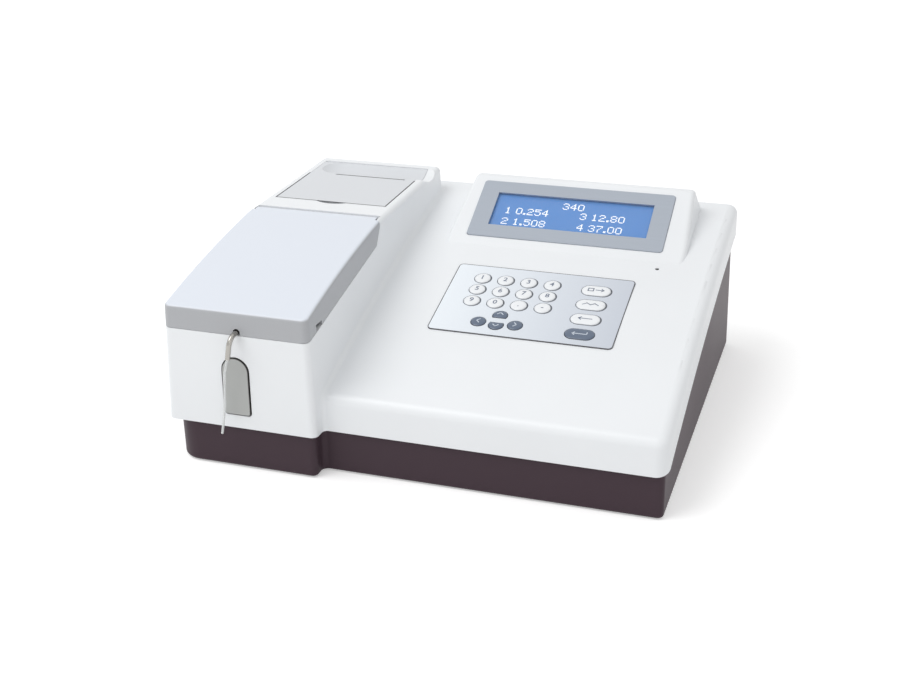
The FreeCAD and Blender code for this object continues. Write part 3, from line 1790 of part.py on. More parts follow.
# Printer: door with its tear slot, a cradle with the head bar, the platen and the paper.
def printer_door():
    axis_y, axis_z = door_axis()
    slab = box(door_left, door_right, door_front, axis_y, block_height - door_thickness, block_height)
    under = trough(trough_radius + door_thickness, door_right)
    room = box(
        door_left,
        door_right,
        door_front,
        axis_y,
        block_height - trough_sag - door_thickness * 2,
        block_height,
    )
    bar = cross_rod(door_bar_radius, axis_y, axis_z, door_left, door_right)
    door = slab.fuse([under.common(room), bar])
    door = door.cut(trough(trough_radius, door_right + overrun))
    stub = door_stub_length
    door = door.fuse(cross_rod(door_stub_radius, axis_y, axis_z, door_left - stub, door_right + stub))
    half = tear_slot_width / 2
    low = block_height - trough_sag * 2
    cuts = [
        box(
            tear_slot_left,
            tear_slot_right,
            tear_slot_depth - half,
            tear_slot_depth + half,
            low,
            block_height + overrun,
        )
    ]
    for x in (tear_slot_left, tear_slot_right):
        cuts.append(upright_rod(tear_dot_radius, x, tear_slot_depth, low, block_height + overrun))
    return door.cut(cuts).removeSplitter()


def printer_frame():
    """Open cradle: floor, two cheeks that carry the platen, and the head bar."""
    low = well_floor_height
    cheek = [
        (cradle_front, low),
        (cradle_rear, low),
        (cradle_rear, cradle_top_height),
        (cradle_high_depth, cradle_top_height),
        (cradle_high_depth - cradle_side_height / 2, low + cradle_side_height),
        (cradle_front, low + cradle_side_height),
    ]
    left = side_prism(cheek, cradle_left, cradle_left + cradle_plate)
    right = side_prism(cheek, cradle_right - cradle_plate, cradle_right)
    floor = box(cradle_left, cradle_right, cradle_front, cradle_rear, low, low + cradle_plate)
    head_y = platen_depth + platen_radius + head_gap
    head_z = platen_height - head_height / 2
    bar = box(cradle_left, cradle_right, head_y, head_y + head_thickness, head_z, head_z + head_height)
    frame = joined(floor, left, right, bar)
    bore = cross_rod(
        platen_shaft_radius + running_gap,
        platen_depth,
        platen_height,
        cradle_left - overrun,
        cradle_right + overrun,
    )
    return frame.cut(bore)


def platen_roller():
    inner_left = cradle_left + cradle_plate + small_gap * 2
    inner_right = cradle_right - cradle_plate - small_gap * 2
    rubber = cross_rod(platen_radius, platen_depth, platen_height, inner_left, inner_right)
    shaft = cross_rod(
        platen_shaft_radius,
        platen_depth,
        platen_height,
        cradle_left - cradle_plate,
        cradle_right + cradle_plate,
    )
    return joined(rubber, shaft)


def paper_roll():
    middle = (cradle_left + cradle_right) / 2
    z = well_floor_height + cradle_plate + small_gap + paper_roll_radius
    left = Vector(middle - paper_width / 2, paper_depth, z)
    right = Vector(middle + paper_width / 2, paper_depth, z)
    return rod(paper_roll_radius, left, right).cut(rod(paper_core_radius, left, right))


# Electronics on the base's floor.
def main_board():
    board = box(
        board_left, board_right, board_front, board_rear, board_height, board_height + board_thickness
    )
    top = board_height + board_thickness
    chip_shares = (
        (0.12, 0.2, 0.14, 0.24, 2.5),
        (0.36, 0.5, 0.12, 0.2, 2),
        (0.58, 0.2, 0.1, 0.3, 4),
        (0.78, 0.6, 0.16, 0.2, 7),
    )
    width = board_right - board_left
    length = board_rear - board_front
    parts = []
    for x_share, y_share, width_share, length_share, thickness_share in chip_shares:
        x0 = board_left + x_share * width
        y0 = board_front + y_share * length
        parts.append(
            box(
                x0,
                x0 + width_share * width,
                y0,
                y0 + length_share * length,
                top - hair,
                top + thickness_share * board_thickness,
            )
        )
    return joined(board, *parts)


def power_supply():
    """Folded sheet case with vent slots in its lid."""
    top = floor_top + supply_height
    case = box(supply_left, supply_right, supply_front, supply_rear, floor_top, top)
    sheet = supply_sheet
    case = case.cut(
        box(
            supply_left + sheet,
            supply_right - sheet,
            supply_front + sheet,
            supply_rear - sheet,
            floor_top + sheet,
            top - sheet,
        )
    )
    pitch = (supply_right - supply_left) / (supply_slot_count + 1)
    for index in range(supply_slot_count):
        x = supply_left + pitch * (index + 1)
        middle = (supply_front + supply_rear) / 2
        slot = box(
            x - supply_slot_width / 2,
            x + supply_slot_width / 2,
            middle - supply_slot_length / 2,
            middle + supply_slot_length / 2,
            top - sheet * 2,
            top + sheet,
        )
        case = case.cut(slot)
    return case


def all_parts():
    """Each node's name and its solid, or its group of separate solids."""
    parts = {
        "base_tray": base_tray(),
        "top_cover": top_cover(),
        "rear_panel": rear_panel(),
        "rubber_feet": rubber_feet(),
        "housing_screws": housing_screws(),
        "display_bezel": display_bezel(),
        "display_window": display_window(),
        "lcd_module": lcd_module(),
        "keypad_plate": keypad_plate(),
        "keypad_board": keypad_board(),
        "status_led": status_led(),
        "main_board": main_board(),
        "power_supply": power_supply(),
        "mains_inlet": mains_inlet(),
        "power_rocker": power_rocker(),
        "serial_port": serial_port(),
        "bay_tray": bay_tray(),
        "photometer_block": photometer_block(),
        "halogen_lamp": halogen_lamp(),
        "filter_wheel": filter_wheel(),
        "filter_set": filter_set(),
        "filter_motor": filter_motor(),
        "flow_cell": flow_cell(),
        "detector_board": detector_board(),
        "pump_motor": pump_motor(),
        "pump_head": pump_head(),
        "pump_rotor": pump_rotor(),
        "pump_tube": pump_tube(),
        "aspiration_sleeve": aspiration_sleeve(),
        "aspiration_capillary": aspiration_capillary(),
        "aspirate_paddle": aspirate_paddle(),
        "paddle_switch": paddle_switch(),
        "sample_lid": sample_lid(),
        "printer_door": printer_door(),
        "printer_frame": printer_frame(),
        "platen_roller": platen_roller(),
        "paper_roll": paper_roll(),
    }
    for index, (x, y) in enumerate(roller_places()):
        parts[f"pump_roller_{index + 1}"] = pump_roller(x, y)
    for name, x, y, outline in key_shapes():
        parts[name] = key_solid(x, y, outline)
    return parts


def save_parts(parts):
    os.makedirs("parts", exist_ok=True)
    shapes = {}
    for name, made in parts.items():
        solids = made if isinstance(made, list) else made.Solids
        shapes[name] = solids[0] if len(solids) == 1 else Part.makeCompound(solids)
    bounds = Part.makeCompound(list(shapes.values())).optimalBoundingBox()
    shift = Vector(-(bounds.XMin + bounds.XMax) / 2, -(bounds.YMin + bounds.YMax) / 2, -bounds.ZMin)
    print("origin moved by", shift)
    for name, shape in shapes.items():
        shape.translated(shift).exportStep(f"parts/{name}.step")


save_parts(all_parts())
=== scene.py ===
import math
import bpy
from mathutils import Matrix, Vector


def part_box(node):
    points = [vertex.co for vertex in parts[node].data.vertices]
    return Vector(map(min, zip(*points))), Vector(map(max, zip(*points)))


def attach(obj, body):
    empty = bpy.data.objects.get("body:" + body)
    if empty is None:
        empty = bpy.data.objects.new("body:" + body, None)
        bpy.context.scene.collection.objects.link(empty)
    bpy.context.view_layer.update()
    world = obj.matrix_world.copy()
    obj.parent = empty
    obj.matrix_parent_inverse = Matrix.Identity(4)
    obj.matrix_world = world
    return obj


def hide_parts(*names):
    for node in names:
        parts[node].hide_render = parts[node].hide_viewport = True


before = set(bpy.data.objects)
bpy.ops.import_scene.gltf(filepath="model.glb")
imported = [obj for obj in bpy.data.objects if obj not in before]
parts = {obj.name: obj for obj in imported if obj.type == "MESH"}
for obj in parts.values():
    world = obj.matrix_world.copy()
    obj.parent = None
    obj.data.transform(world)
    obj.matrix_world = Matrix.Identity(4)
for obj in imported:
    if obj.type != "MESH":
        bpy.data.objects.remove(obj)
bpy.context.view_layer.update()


# The viewpoint. The instrument is seen from its right front and from above the lid, from about
# 1.1 metres away. Places are measured from the case's left front corner at table height.
case_low, case_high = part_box("top_cover")
case_corner = Vector((case_low.x, case_low.y, 0.0))
aim_from_corner = Vector((0.16796, 0.15804, 0.05286))
aim_point = case_corner + aim_from_corner
view_azimuth = math.radians(18.886)
view_elevation = math.radians(23.996)
view_roll = math.radians(-1.158)
view_distance = 1.10073
view_lens = 54.98
film_width = 36.0
nearest_seen = 0.01

backwards = Vector((
    math.sin(view_azimuth) * math.cos(view_elevation),
    -math.cos(view_azimuth) * math.cos(view_elevation),
    math.sin(view_elevation),
))
level_right = Vector((math.cos(view_azimuth), math.sin(view_azimuth), 0.0))
level_up = backwards.cross(level_right)
camera_right = level_right * math.cos(view_roll) + level_up * math.sin(view_roll)
camera_up = level_up * math.cos(view_roll) - level_right * math.sin(view_roll)
camera_data = bpy.data.cameras.new("viewpoint")
camera_data.lens = view_lens
camera_data.sensor_width = film_width
camera_data.clip_start = nearest_seen
camera = bpy.data.objects.new("viewpoint", camera_data)
facing = Matrix((camera_right, camera_up, backwards)).transposed().to_4x4()
camera.matrix_world = Matrix.Translation(aim_point + backwards * view_distance) @ facing
bpy.context.scene.collection.objects.link(camera)
bpy.context.scene.camera = camera
bpy.context.scene.view_settings.view_transform = "Standard"


# The studio. A white sweep under a wide soft box from the upper left, and an even white room. The
# sweep shows as plain white to the camera, and keeps the instrument's own shadow.
sweep_size = 6.0
sweep_light = 0.36
room_light = 0.66
soft_box_place = Vector((-1.1, -0.9, 2.2))
soft_box_size = 1.8
soft_box_power = 27.0
strip_place = Vector((0.9, -1.6, 0.9))
strip_size = 0.9
strip_power = 1.5
sweep_paint = (0.9, 0.9, 0.9, 1.0)
room_white = (1.0, 1.0, 1.0, 1.0)


def shader(name):
    """A new material with its node tree, its links and its main shader."""
    material = bpy.data.materials.new(name)
    material.use_nodes = True
    tree = material.node_tree
    return material, tree.nodes, tree.links, tree.nodes["Principled BSDF"]


def looking_rays(nodes, links):
    """One for a ray from the camera, a reflection or a look through clear plastic, else nothing."""
    path = nodes.new("ShaderNodeLightPath")
    mirrored = nodes.new("ShaderNodeMath")
    mirrored.operation = "MAXIMUM"
    links.new(path.outputs["Is Camera Ray"], mirrored.inputs[0])
    links.new(path.outputs["Is Glossy Ray"], mirrored.inputs[1])
    any_look = nodes.new("ShaderNodeMath")
    any_look.operation = "MAXIMUM"
    links.new(mirrored.outputs[0], any_look.inputs[0])
    links.new(path.outputs["Is Transmission Ray"], any_look.inputs[1])
    return any_look.outputs[0]


def white_sweep():
    """Matt white paint that also shows as plain white where it is looked at."""
    material, nodes, links, plastic = shader("white_sweep")
    nodes.remove(plastic)
    paint = nodes.new("ShaderNodeBsdfDiffuse")
    paint.inputs["Color"].default_value = sweep_paint
    glow = nodes.new("ShaderNodeEmission")
    straight = nodes.new("ShaderNodeMath")
    straight.operation = "MULTIPLY"
    straight.inputs[1].default_value = sweep_light
    links.new(looking_rays(nodes, links), straight.inputs[0])
    links.new(straight.outputs[0], glow.inputs["Strength"])
    both = nodes.new("ShaderNodeAddShader")
    links.new(paint.outputs[0], both.inputs[0])
    links.new(glow.outputs[0], both.inputs[1])
    links.new(both.outputs[0], nodes["Material Output"].inputs["Surface"])
    return material


def soft_light(name, place, size, power):
    """A round lamp that points at the instrument."""
    data = bpy.data.lights.new(name, "AREA")
    data.shape = "DISK"
    data.size = size
    data.energy = power
    lamp = bpy.data.objects.new(name, data)
    lamp.location = place
    lamp.rotation_euler = (aim_point - place).to_track_quat("-Z", "Y").to_euler()
    bpy.context.scene.collection.objects.link(lamp)


def room():
    """Even white light from all round, plain white where it is looked at."""
    world = bpy.data.worlds.new("room")
    world.use_nodes = True
    nodes = world.node_tree.nodes
    links = world.node_tree.links
    seen = nodes.new("ShaderNodeMapRange")
    seen.inputs["To Min"].default_value = room_light
    seen.inputs["To Max"].default_value = 1.0
    links.new(looking_rays(nodes, links), seen.inputs["Value"])
    nodes["Background"].inputs["Color"].default_value = room_white
    links.new(seen.outputs["Result"], nodes["Background"].inputs["Strength"])
    bpy.context.scene.world = world


sweep_mesh = bpy.data.meshes.new("sweep")
half = sweep_size / 2
sweep_corners = [(-half, -half, 0), (half, -half, 0), (half, half, 0), (-half, half, 0)]
sweep_mesh.from_pydata(sweep_corners, [], [(0, 1, 2, 3)])
sweep_mesh.materials.append(white_sweep())
sweep = bpy.data.objects.new("sweep", sweep_mesh)
bpy.context.scene.collection.objects.link(sweep)
soft_light("soft_box", soft_box_place, soft_box_size, soft_box_power)
soft_light("strip", strip_place, strip_size, strip_power)
room()


# The base tray. One dark plum moulding in impact-resistant plastic with a fine satin spark finish.
# Its rim carries a tongue inside the cover, and six screws from below hold the two together.
base_plum = (0.058, 0.038, 0.048)
base_shine = 0.14
base_roughness = 0.42
base_grain_depth = 0.12
usual_shine = 0.5
usual_grain_depth = 0.05
spark_size = 1500.0
spark_height = 0.0002
cloud_size = 9.0
cloud_detail = 3.0
plain_detail = 2.0
cloud_low = 0.3
cloud_high = 0.7
tint_spread = 0.015
satin_spread = 0.08
coat_roughness = 0.12


def noise(nodes, links, size, detail):
    """A cloudy pattern that is fixed to the piece."""
    place = nodes.new("ShaderNodeTexCoord")
    cloud = nodes.new("ShaderNodeTexNoise")
    cloud.inputs["Scale"].default_value = size
    cloud.inputs["Detail"].default_value = detail
    links.new(place.outputs["Object"], cloud.inputs["Vector"])
    return cloud.outputs["Fac"]


def rise(nodes, links, value, low, high):
    """Grows evenly from nothing to one between a low and a high value."""
    slope = nodes.new("ShaderNodeMapRange")
    slope.inputs["From Min"].default_value = low
    slope.inputs["From Max"].default_value = high
    links.new(value, slope.inputs["Value"])
    return slope.outputs["Result"]


def wander(nodes, links, pattern, middle, spread, target):
    """Lets a value of the finish wander a little about its middle, as a pattern goes."""
    slope = nodes.new("ShaderNodeMapRange")
    slope.inputs["To Min"].default_value = middle * (1 - spread)
    slope.inputs["To Max"].default_value = middle * (1 + spread)
    links.new(pattern, slope.inputs["Value"])
    links.new(slope.outputs["Result"], target)


def toned(colour, share):
    """A colour made darker or paler by a share."""
    return [min(1.0, channel * share) for channel in colour]


def blend(nodes, links, share, first, second, *targets):
    """Goes from a first to a second colour with a share, and gives the result to the targets."""
    shade = nodes.new("ShaderNodeMix")
    shade.data_type = "RGBA"
    shade.inputs["A"].default_value = (*first, 1.0)
    shade.inputs["B"].default_value = (*second, 1.0)
    links.new(share, shade.inputs["Factor"])
    for target in targets:
        links.new(shade.outputs["Result"], target)


def moulded_plastic(name, colour, roughness, depth=usual_grain_depth, coat=0.0, shine=usual_shine):
    """Satin moulded plastic: a fine spark-eroded grain and a slightly uneven gloss."""
    material, nodes, links, plastic = shader(name)
    plastic.inputs["Specular IOR Level"].default_value = shine
    plastic.inputs["Coat Weight"].default_value = coat
    plastic.inputs["Coat Roughness"].default_value = coat_roughness
    cloud = noise(nodes, links, cloud_size, cloud_detail)
    tint = rise(nodes, links, cloud, cloud_low, cloud_high)
    dark = toned(colour, 1 - tint_spread)
    pale = toned(colour, 1 + tint_spread)
    blend(nodes, links, tint, dark, pale, plastic.inputs["Base Color"])
    wander(nodes, links, cloud, roughness, satin_spread, plastic.inputs["Roughness"])
    bump = nodes.new("ShaderNodeBump")
    bump.inputs["Strength"].default_value = depth
    bump.inputs["Distance"].default_value = spark_height
    links.new(noise(nodes, links, spark_size, plain_detail), bump.inputs["Height"])
    links.new(bump.outputs["Normal"], plastic.inputs["Normal"])
    return material


def finish_part(node, material):
    """Gives a solid of the model its finish."""
    mesh = parts[node].data
    mesh.materials.clear()
    mesh.materials.append(material)


plum_plastic = moulded_plastic(
    "plum_plastic", base_plum, base_roughness, depth=base_grain_depth, shine=base_shine
)
finish_part("base_tray", plum_plastic)


# The top cover. White moulded shell, its display housing and printer well in one piece with it,
# fixed from below by screws. Its satin is also that of the bay's deck, the pump's head and rotor.
cover_white = (0.847, 0.867, 0.887)
cover_roughness = 0.38
smooth_grain_depth = 0.04
shell_white = moulded_plastic("white_plastic", cover_white, cover_roughness, depth=smooth_grain_depth)
for name in ("top_cover", "bay_tray", "pump_head", "pump_rotor"):
    finish_part(name, shell_white)


# The sample lid and the printer door. Light grey mouldings. The lid's upper face is painted paler
# and its skirt darker, painted light from above and painted shade at the sides. The door is one plain
# grey.
lid_lit_top = (0.74, 0.78, 0.85)
lid_shaded_skirt = (0.43, 0.44, 0.46)
lid_roughness = 0.32
door_grey = (0.68, 0.70, 0.73)
door_roughness = 0.36
straight_up = (0.0, 0.0, 1.0)
lit_face_edge = (0.45, 0.9)


def facing_shaded_plastic(name, lit_tone, shade_tone, roughness, facing=straight_up, edge=lit_face_edge):
    """Moulded plastic painted paler on the faces that look one way and darker at its sides: painted
    light and shade.
    """
    material = moulded_plastic(name, shade_tone, roughness, depth=smooth_grain_depth)
    nodes = material.node_tree.nodes
    links = material.node_tree.links
    place = nodes.new("ShaderNodeTexCoord")
    turned = nodes.new("ShaderNodeVectorMath")
    turned.operation = "DOT_PRODUCT"
    turned.inputs[1].default_value = facing
    links.new(place.outputs["Normal"], turned.inputs[0])
    towards = rise(nodes, links, turned.outputs["Value"], *edge)
    # Painted light and shade: the faces that look one way get the paler tone, the sides the darker one.
    blend(nodes, links, towards, shade_tone, lit_tone, nodes["Principled BSDF"].inputs["Base Color"])
    return material


# The lid's paler top and darker skirt are painted light and shade.
finish_part("sample_lid", facing_shaded_plastic("lid_plastic", lid_lit_top, lid_shaded_skirt, lid_roughness))
finish_part("printer_door", moulded_plastic("door_plastic", door_grey, door_roughness))


# The aspiration route. A bent polished steel sleeve comes out under the lid, and a clear suction
# capillary hangs from it in front of the grey trigger paddle, which pivots in the cover's wall. The
# flow cell and the pump's tube are of the capillary's clear plastic.
paddle_grey = (0.42, 0.43, 0.42)
paddle_shaded_side = (0.035, 0.03, 0.028)
paddle_roughness = 0.4
straight_forward = (0.0, -1.0, 0.0)
steel_grey = (0.40, 0.385, 0.36)
steel_roughness = 0.2
tube_pale = (0.86, 0.88, 0.88)
tube_roughness = 0.25
tube_clearness = 0.35
plastic_bending = 1.45
draw_mark_size = 900.0
clear_cloud_size = 400.0
gloss_spread = 0.2


def bright_steel(name, roughness, colour):
    """Polished metal with faint drawing marks."""
    material, nodes, links, metal = shader(name)
    metal.inputs["Metallic"].default_value = 1.0
    metal.inputs["Base Color"].default_value = (*colour, 1.0)
    marks = noise(nodes, links, draw_mark_size, plain_detail)
    wander(nodes, links, marks, roughness, gloss_spread, metal.inputs["Roughness"])
    return material


def clear_plastic(name, colour, roughness, see_through):
    """Plastic or glass that light goes through."""
    material, nodes, links, plastic = shader(name)
    plastic.inputs["Base Color"].default_value = (*colour, 1.0)
    plastic.inputs["Transmission Weight"].default_value = see_through
    plastic.inputs["IOR"].default_value = plastic_bending
    cloud = noise(nodes, links, clear_cloud_size, plain_detail)
    wander(nodes, links, cloud, roughness, gloss_spread, plastic.inputs["Roughness"])
    return material


steel = bright_steel("polished_steel", steel_roughness, steel_grey)
tube_plastic = clear_plastic("tube_plastic", tube_pale, tube_roughness, tube_clearness)
finish_part("aspiration_sleeve", steel)
for name in ("aspiration_capillary", "pump_tube", "flow_cell"):
    finish_part(name, tube_plastic)
# The paddle's sides are painted near black: painted shade that stands for the dark gap round it.
paddle_face = facing_shaded_plastic(
    "paddle_plastic", paddle_grey, paddle_shaded_side, paddle_roughness, facing=straight_forward
)
finish_part("aspirate_paddle", paddle_face)


# The display. A silver-lacquered bezel, brushed along its length, holds a clear window. Behind the
# window lies a backlit blue dot-matrix module that shows four readings under their wavelength.
bezel_silver = (0.40, 0.44, 0.50)
bezel_roughness = 0.34
bezel_metal = 0.35
bezel_coat = 0.15
bezel_coat_roughness = 0.2
brush_stretch = (12.0, 2600.0, 2600.0)
brush_spread = 0.07
display_blue = (0.02, 0.195, 0.56)
display_glow = 0.10
film_roughness = 0.25
film_cloud_size = 14.0
film_spread = 0.04
window_clear = (1.0, 1.0, 1.0, 1.0)
window_alpha = 0.06
window_roughness = 0.05
window_cloud_size = 60.0
window_lap = 0.003
dot_white = (0.92, 0.96, 1.0)
dot_glow = 0.25
dot_pitch = 0.00106
dot_size = 0.00098
dot_lift = 0.00005
display_tilt = math.radians(26.7)
sign_rows = 7
digit_advance = 6
point_advance = 3
display_lines = [
    ("340", 0.43, 0.20),
    ("1 0.254", 0.07, 0.46),
    ("3 12.80", 0.555, 0.46),
    ("2 1.508", 0.07, 0.79),
    ("4 37.00", 0.555, 0.79),
]
digit_dots = {
    "0": ("01110", "10001", "10001", "10001", "10001", "10001", "01110"),
    "1": ("00100", "01100", "00100", "00100", "00100", "00100", "01110"),
    "2": ("01110", "10001", "00001", "00110", "01000", "10000", "11111"),
    "3": ("01110", "10001", "00001", "00110", "00001", "10001", "01110"),
    "4": ("00010", "00110", "01010", "10010", "11111", "00010", "00010"),
    "5": ("11111", "10000", "11110", "00001", "00001", "10001", "01110"),
    "7": ("11111", "00001", "00010", "00100", "01000", "01000", "01000"),
    "8": ("01110", "10001", "10001", "01110", "10001", "10001", "01110"),
    ".": ("00", "00", "00", "00", "00", "11", "11"),
}


def brushed_silver(name, colour, roughness):
    """Silver lacquer with fine marks brushed along the instrument's width."""
    material, nodes, links, lacquer = shader(name)
    lacquer.inputs["Metallic"].default_value = bezel_metal
    lacquer.inputs["Coat Weight"].default_value = bezel_coat
    lacquer.inputs["Coat Roughness"].default_value = bezel_coat_roughness
    place = nodes.new("ShaderNodeTexCoord")
    stretch = nodes.new("ShaderNodeMapping")
    stretch.inputs["Scale"].default_value = brush_stretch
    links.new(place.outputs["Object"], stretch.inputs["Vector"])
    marks = nodes.new("ShaderNodeTexNoise")
    marks.inputs["Scale"].default_value = 1.0
    marks.inputs["Detail"].default_value = cloud_detail
    links.new(stretch.outputs["Vector"], marks.inputs["Vector"])
    dark = toned(colour, 1 - brush_spread)
    pale = toned(colour, 1 + brush_spread)
    blend(nodes, links, marks.outputs["Fac"], dark, pale, lacquer.inputs["Base Color"])
    wander(nodes, links, marks.outputs["Fac"], roughness, gloss_spread, lacquer.inputs["Roughness"])
    return material


def backlit(name, colour, strength):
    """Coloured film with a lamp behind it, a little uneven as such films are."""
    material, nodes, links, film = shader(name)
    film.inputs["Roughness"].default_value = film_roughness
    film.inputs["Emission Strength"].default_value = strength
    cloud = noise(nodes, links, film_cloud_size, plain_detail)
    dark = toned(colour, 1 - film_spread)
    pale = toned(colour, 1 + film_spread)
    blend(nodes, links, cloud, dark, pale, film.inputs["Base Color"], film.inputs["Emission Color"])
    return material


def clear_window(name, roughness):
    """Thin clear acrylic: mostly see-through, with the room's shine on it."""
    material, nodes, links, acrylic = shader(name)
    acrylic.inputs["Base Color"].default_value = window_clear
    acrylic.inputs["Alpha"].default_value = window_alpha
    cloud = noise(nodes, links, window_cloud_size, plain_detail)
    wander(nodes, links, cloud, roughness, gloss_spread, acrylic.inputs["Roughness"])
    return material


def reach(node, direction):
    """How far a part's solid lies along a direction, lowest and highest."""
    along = [vertex.co.dot(direction) for vertex in parts[node].data.vertices]
    return min(along), max(along)


class LeaningFace:
    """The upper face of a part that leans back: its middle, its half sizes and a way to place on it."""

    def __init__(self, node, tilt):
        self.across = Vector((1.0, 0.0, 0.0))
        self.up = Vector((0.0, math.cos(tilt), math.sin(tilt)))
        self.out = self.across.cross(self.up)
        left, right = reach(node, self.across)
        low, high = reach(node, self.up)
        self.half_width = (right - left) / 2
        self.half_length = (high - low) / 2
        self.face = reach(node, self.out)[1]
        level_middle = self.across * (left + right) / 2
        self.middle = level_middle + self.up * (low + high) / 2 + self.out * self.face

    def put(self, x, y, height):
        return self.middle + self.across * x + self.up * y + self.out * height

    def turn(self):
        return Matrix((self.across, self.up, self.out)).transposed().to_4x4()


def new_piece(name, corners, faces, material, body, smooth=True):
    """A piece from its own mesh, riding on a body of the model."""
    mesh = bpy.data.meshes.new(name)
    mesh.from_pydata(corners, [], faces)
    mesh.materials.append(material)
    mesh.polygons.foreach_set("use_smooth", [smooth] * len(mesh.polygons))
    mesh.update()
    piece = bpy.data.objects.new(name, mesh)
    bpy.context.scene.collection.objects.link(piece)
    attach(piece, body)
    return piece


def lit_dots(face, view_width, view_length):
    """Every lit dot of the readings as a small square just above the glass."""
    corners = []
    faces = []
    for words, left_share, middle_share in display_lines:
        x = (left_share - 0.5) * view_width
        top = (0.5 - middle_share) * view_length + dot_pitch * sign_rows / 2
        for sign in words:
            rows = digit_dots.get(sign, ())
            for row, line in enumerate(rows):
                for column, lit in enumerate(line):
                    if lit == "1":
                        x0 = x + column * dot_pitch
                        y0 = top - (row + 1) * dot_pitch
                        count = len(corners)
                        for dx, dy in ((0, 0), (dot_size, 0), (dot_size, dot_size), (0, dot_size)):
                            corners.append(face.put(x0 + dx, y0 + dy, dot_lift))
                        faces.append((count, count + 1, count + 2, count + 3))
            x += dot_pitch * (digit_advance if len(sign.strip(" .")) else point_advance)
    return corners, faces


display_window_face = LeaningFace("display_window", display_tilt)
display_glass_face = LeaningFace("lcd_module", display_tilt)
view_width = (display_window_face.half_width - window_lap) * 2
view_length = (display_window_face.half_length - window_lap) * 2
finish_part("display_bezel", brushed_silver("bezel_lacquer", bezel_silver, bezel_roughness))
finish_part("display_window", clear_window("window_acrylic", window_roughness))
finish_part("lcd_module", backlit("display_film", display_blue, display_glow))
dot_corners, dot_faces = lit_dots(display_glass_face, view_width, view_length)
lit_dot = backlit("lit_dot", dot_white, dot_glow)
new_piece("display_dots", dot_corners, dot_faces, lit_dot, "case", smooth=False)


# The keypad plate. A lacquered plate with round corners lies in a recess of the cover, painted from
# pale at the left to grey at the right as a painted sheen, and a dark band fills the gap round its
# edge.
plate_sheen_pale = (0.85, 0.90, 0.95)
plate_sheen_grey = (0.58, 0.62, 0.69)
plate_roughness = 0.28
plate_coat = 0.2
gap_band_dark = (0.10, 0.10, 0.11)
gap_band_roughness = 0.7
gap_band_width = 0.0007
gap_band_drop = 0.00006
gap_band_depth = 0.0016
plate_corner_radius = 0.003
top_key = sum(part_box("wide_key_1"), Vector()) / 2
bottom_key = sum(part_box("wide_key_4"), Vector()) / 2
keypad_slope = math.atan2(top_key.z - bottom_key.z, top_key.y - bottom_key.y)
plate_face = LeaningFace("keypad_plate", keypad_slope)


def rounded_loop(half_width, half_length, radius, steps=8):
    """Points round a rectangle with round corners, anticlockwise from the right-hand side."""
    points = []
    for turn, (side_x, side_y) in enumerate(((1, 1), (-1, 1), (-1, -1), (1, -1))):
        centre_x = side_x * (half_width - radius)
        centre_y = side_y * (half_length - radius)
        for step in range(steps + 1):
            angle = math.pi / 2 * (turn + step / steps)
            points.append((centre_x + radius * math.cos(angle), centre_y + radius * math.sin(angle)))
    return points


def band_between(outer, inner, low, high, put):
    """Closed band between two loops of equal length, from a low to a high level."""
    count = len(outer)
    corners = []
    for loop, height in ((outer, low), (outer, high), (inner, high), (inner, low)):
        corners += [put(x, y, height) for x, y in loop]
    faces = []
    for ring in range(4):
        for step in range(count):
            after = (step + 1) % count
            above = (ring + 1) % 4
            faces.append((
                ring * count + step,
                ring * count + after,
                above * count + after,
                above * count + step,
            ))
    return corners, faces


gap_band_outer = rounded_loop(
    plate_face.half_width + gap_band_width,
    plate_face.half_length + gap_band_width,
    plate_corner_radius + gap_band_width,
)
gap_band_inner = rounded_loop(plate_face.half_width, plate_face.half_length, plate_corner_radius)
gap_band_corners, gap_band_faces = band_between(
    gap_band_outer, gap_band_inner, -gap_band_depth, -gap_band_drop, plate_face.put
)
# A dark band in the gap round the plate, just under the plate's face.
gap_band_finish = moulded_plastic("gap_band_finish", gap_band_dark, gap_band_roughness)
new_piece("keypad_gap_band", gap_band_corners, gap_band_faces, gap_band_finish, "case", smooth=False)


def sheen_graded_film(name, left, right, roughness):
    """Plate film with a painted sheen: its colour goes evenly from pale at the left edge to grey at the
    right.
    """
    material = moulded_plastic(name, left, roughness, coat=plate_coat)
    nodes = material.node_tree.nodes
    links = material.node_tree.links
    place = nodes.new("ShaderNodeTexCoord")
    across = nodes.new("ShaderNodeSeparateXYZ")
    links.new(place.outputs["Generated"], across.inputs["Vector"])
    film_colour = nodes["Principled BSDF"].inputs["Base Color"]
    blend(nodes, links, across.outputs["X"], left, right, film_colour)
    return material


# The plate's pale-to-grey gradient is a painted reflection of the room.
finish_part("keypad_plate", sheen_graded_film("plate_painted_sheen", plate_sheen_pale, plate_sheen_grey, plate_roughness))


# The keys. Twenty silicone caps with domed tops stand through the plate: twelve white number
# keys, four wide white and slate keys and four slate arrows. Their sides are painted darker than their
# tops as painted shade, and their marks are printed on the domes.
key_white = (0.86, 0.88, 0.90)
key_slate = (0.115, 0.15, 0.215)
print_grey = (0.20, 0.23, 0.30)
print_pale = (0.62, 0.68, 0.76)
cap_steps = 14
cap_roughness = 0.3
cap_shade_edge = (0.3, 0.95)
cap_profile = (
    (0.0, -1.3), (0.0, 0.1), (0.35, 0.34), (0.75, 0.6), (1.4, 0.82), (2.4, 0.98), (3.8, 1.06)
)
key_shaded_side = (0.36, 0.38, 0.42)
slate_shaded_side = (0.03, 0.035, 0.05)
crescent_shadow_dark = (0.13, 0.14, 0.16)
crescent_width = 0.0008
crescent_thin = 0.00012
crescent_gap = 0.00035
crescent_side = Vector((0.94, -0.34))
crescent_lift = 0.00003
key_flange = 0.0009
arrow_flat = 0.003
digit_size = 0.0067
digit_boldness = 0.00013
print_lift = 0.00006
print_roughness = 0.5
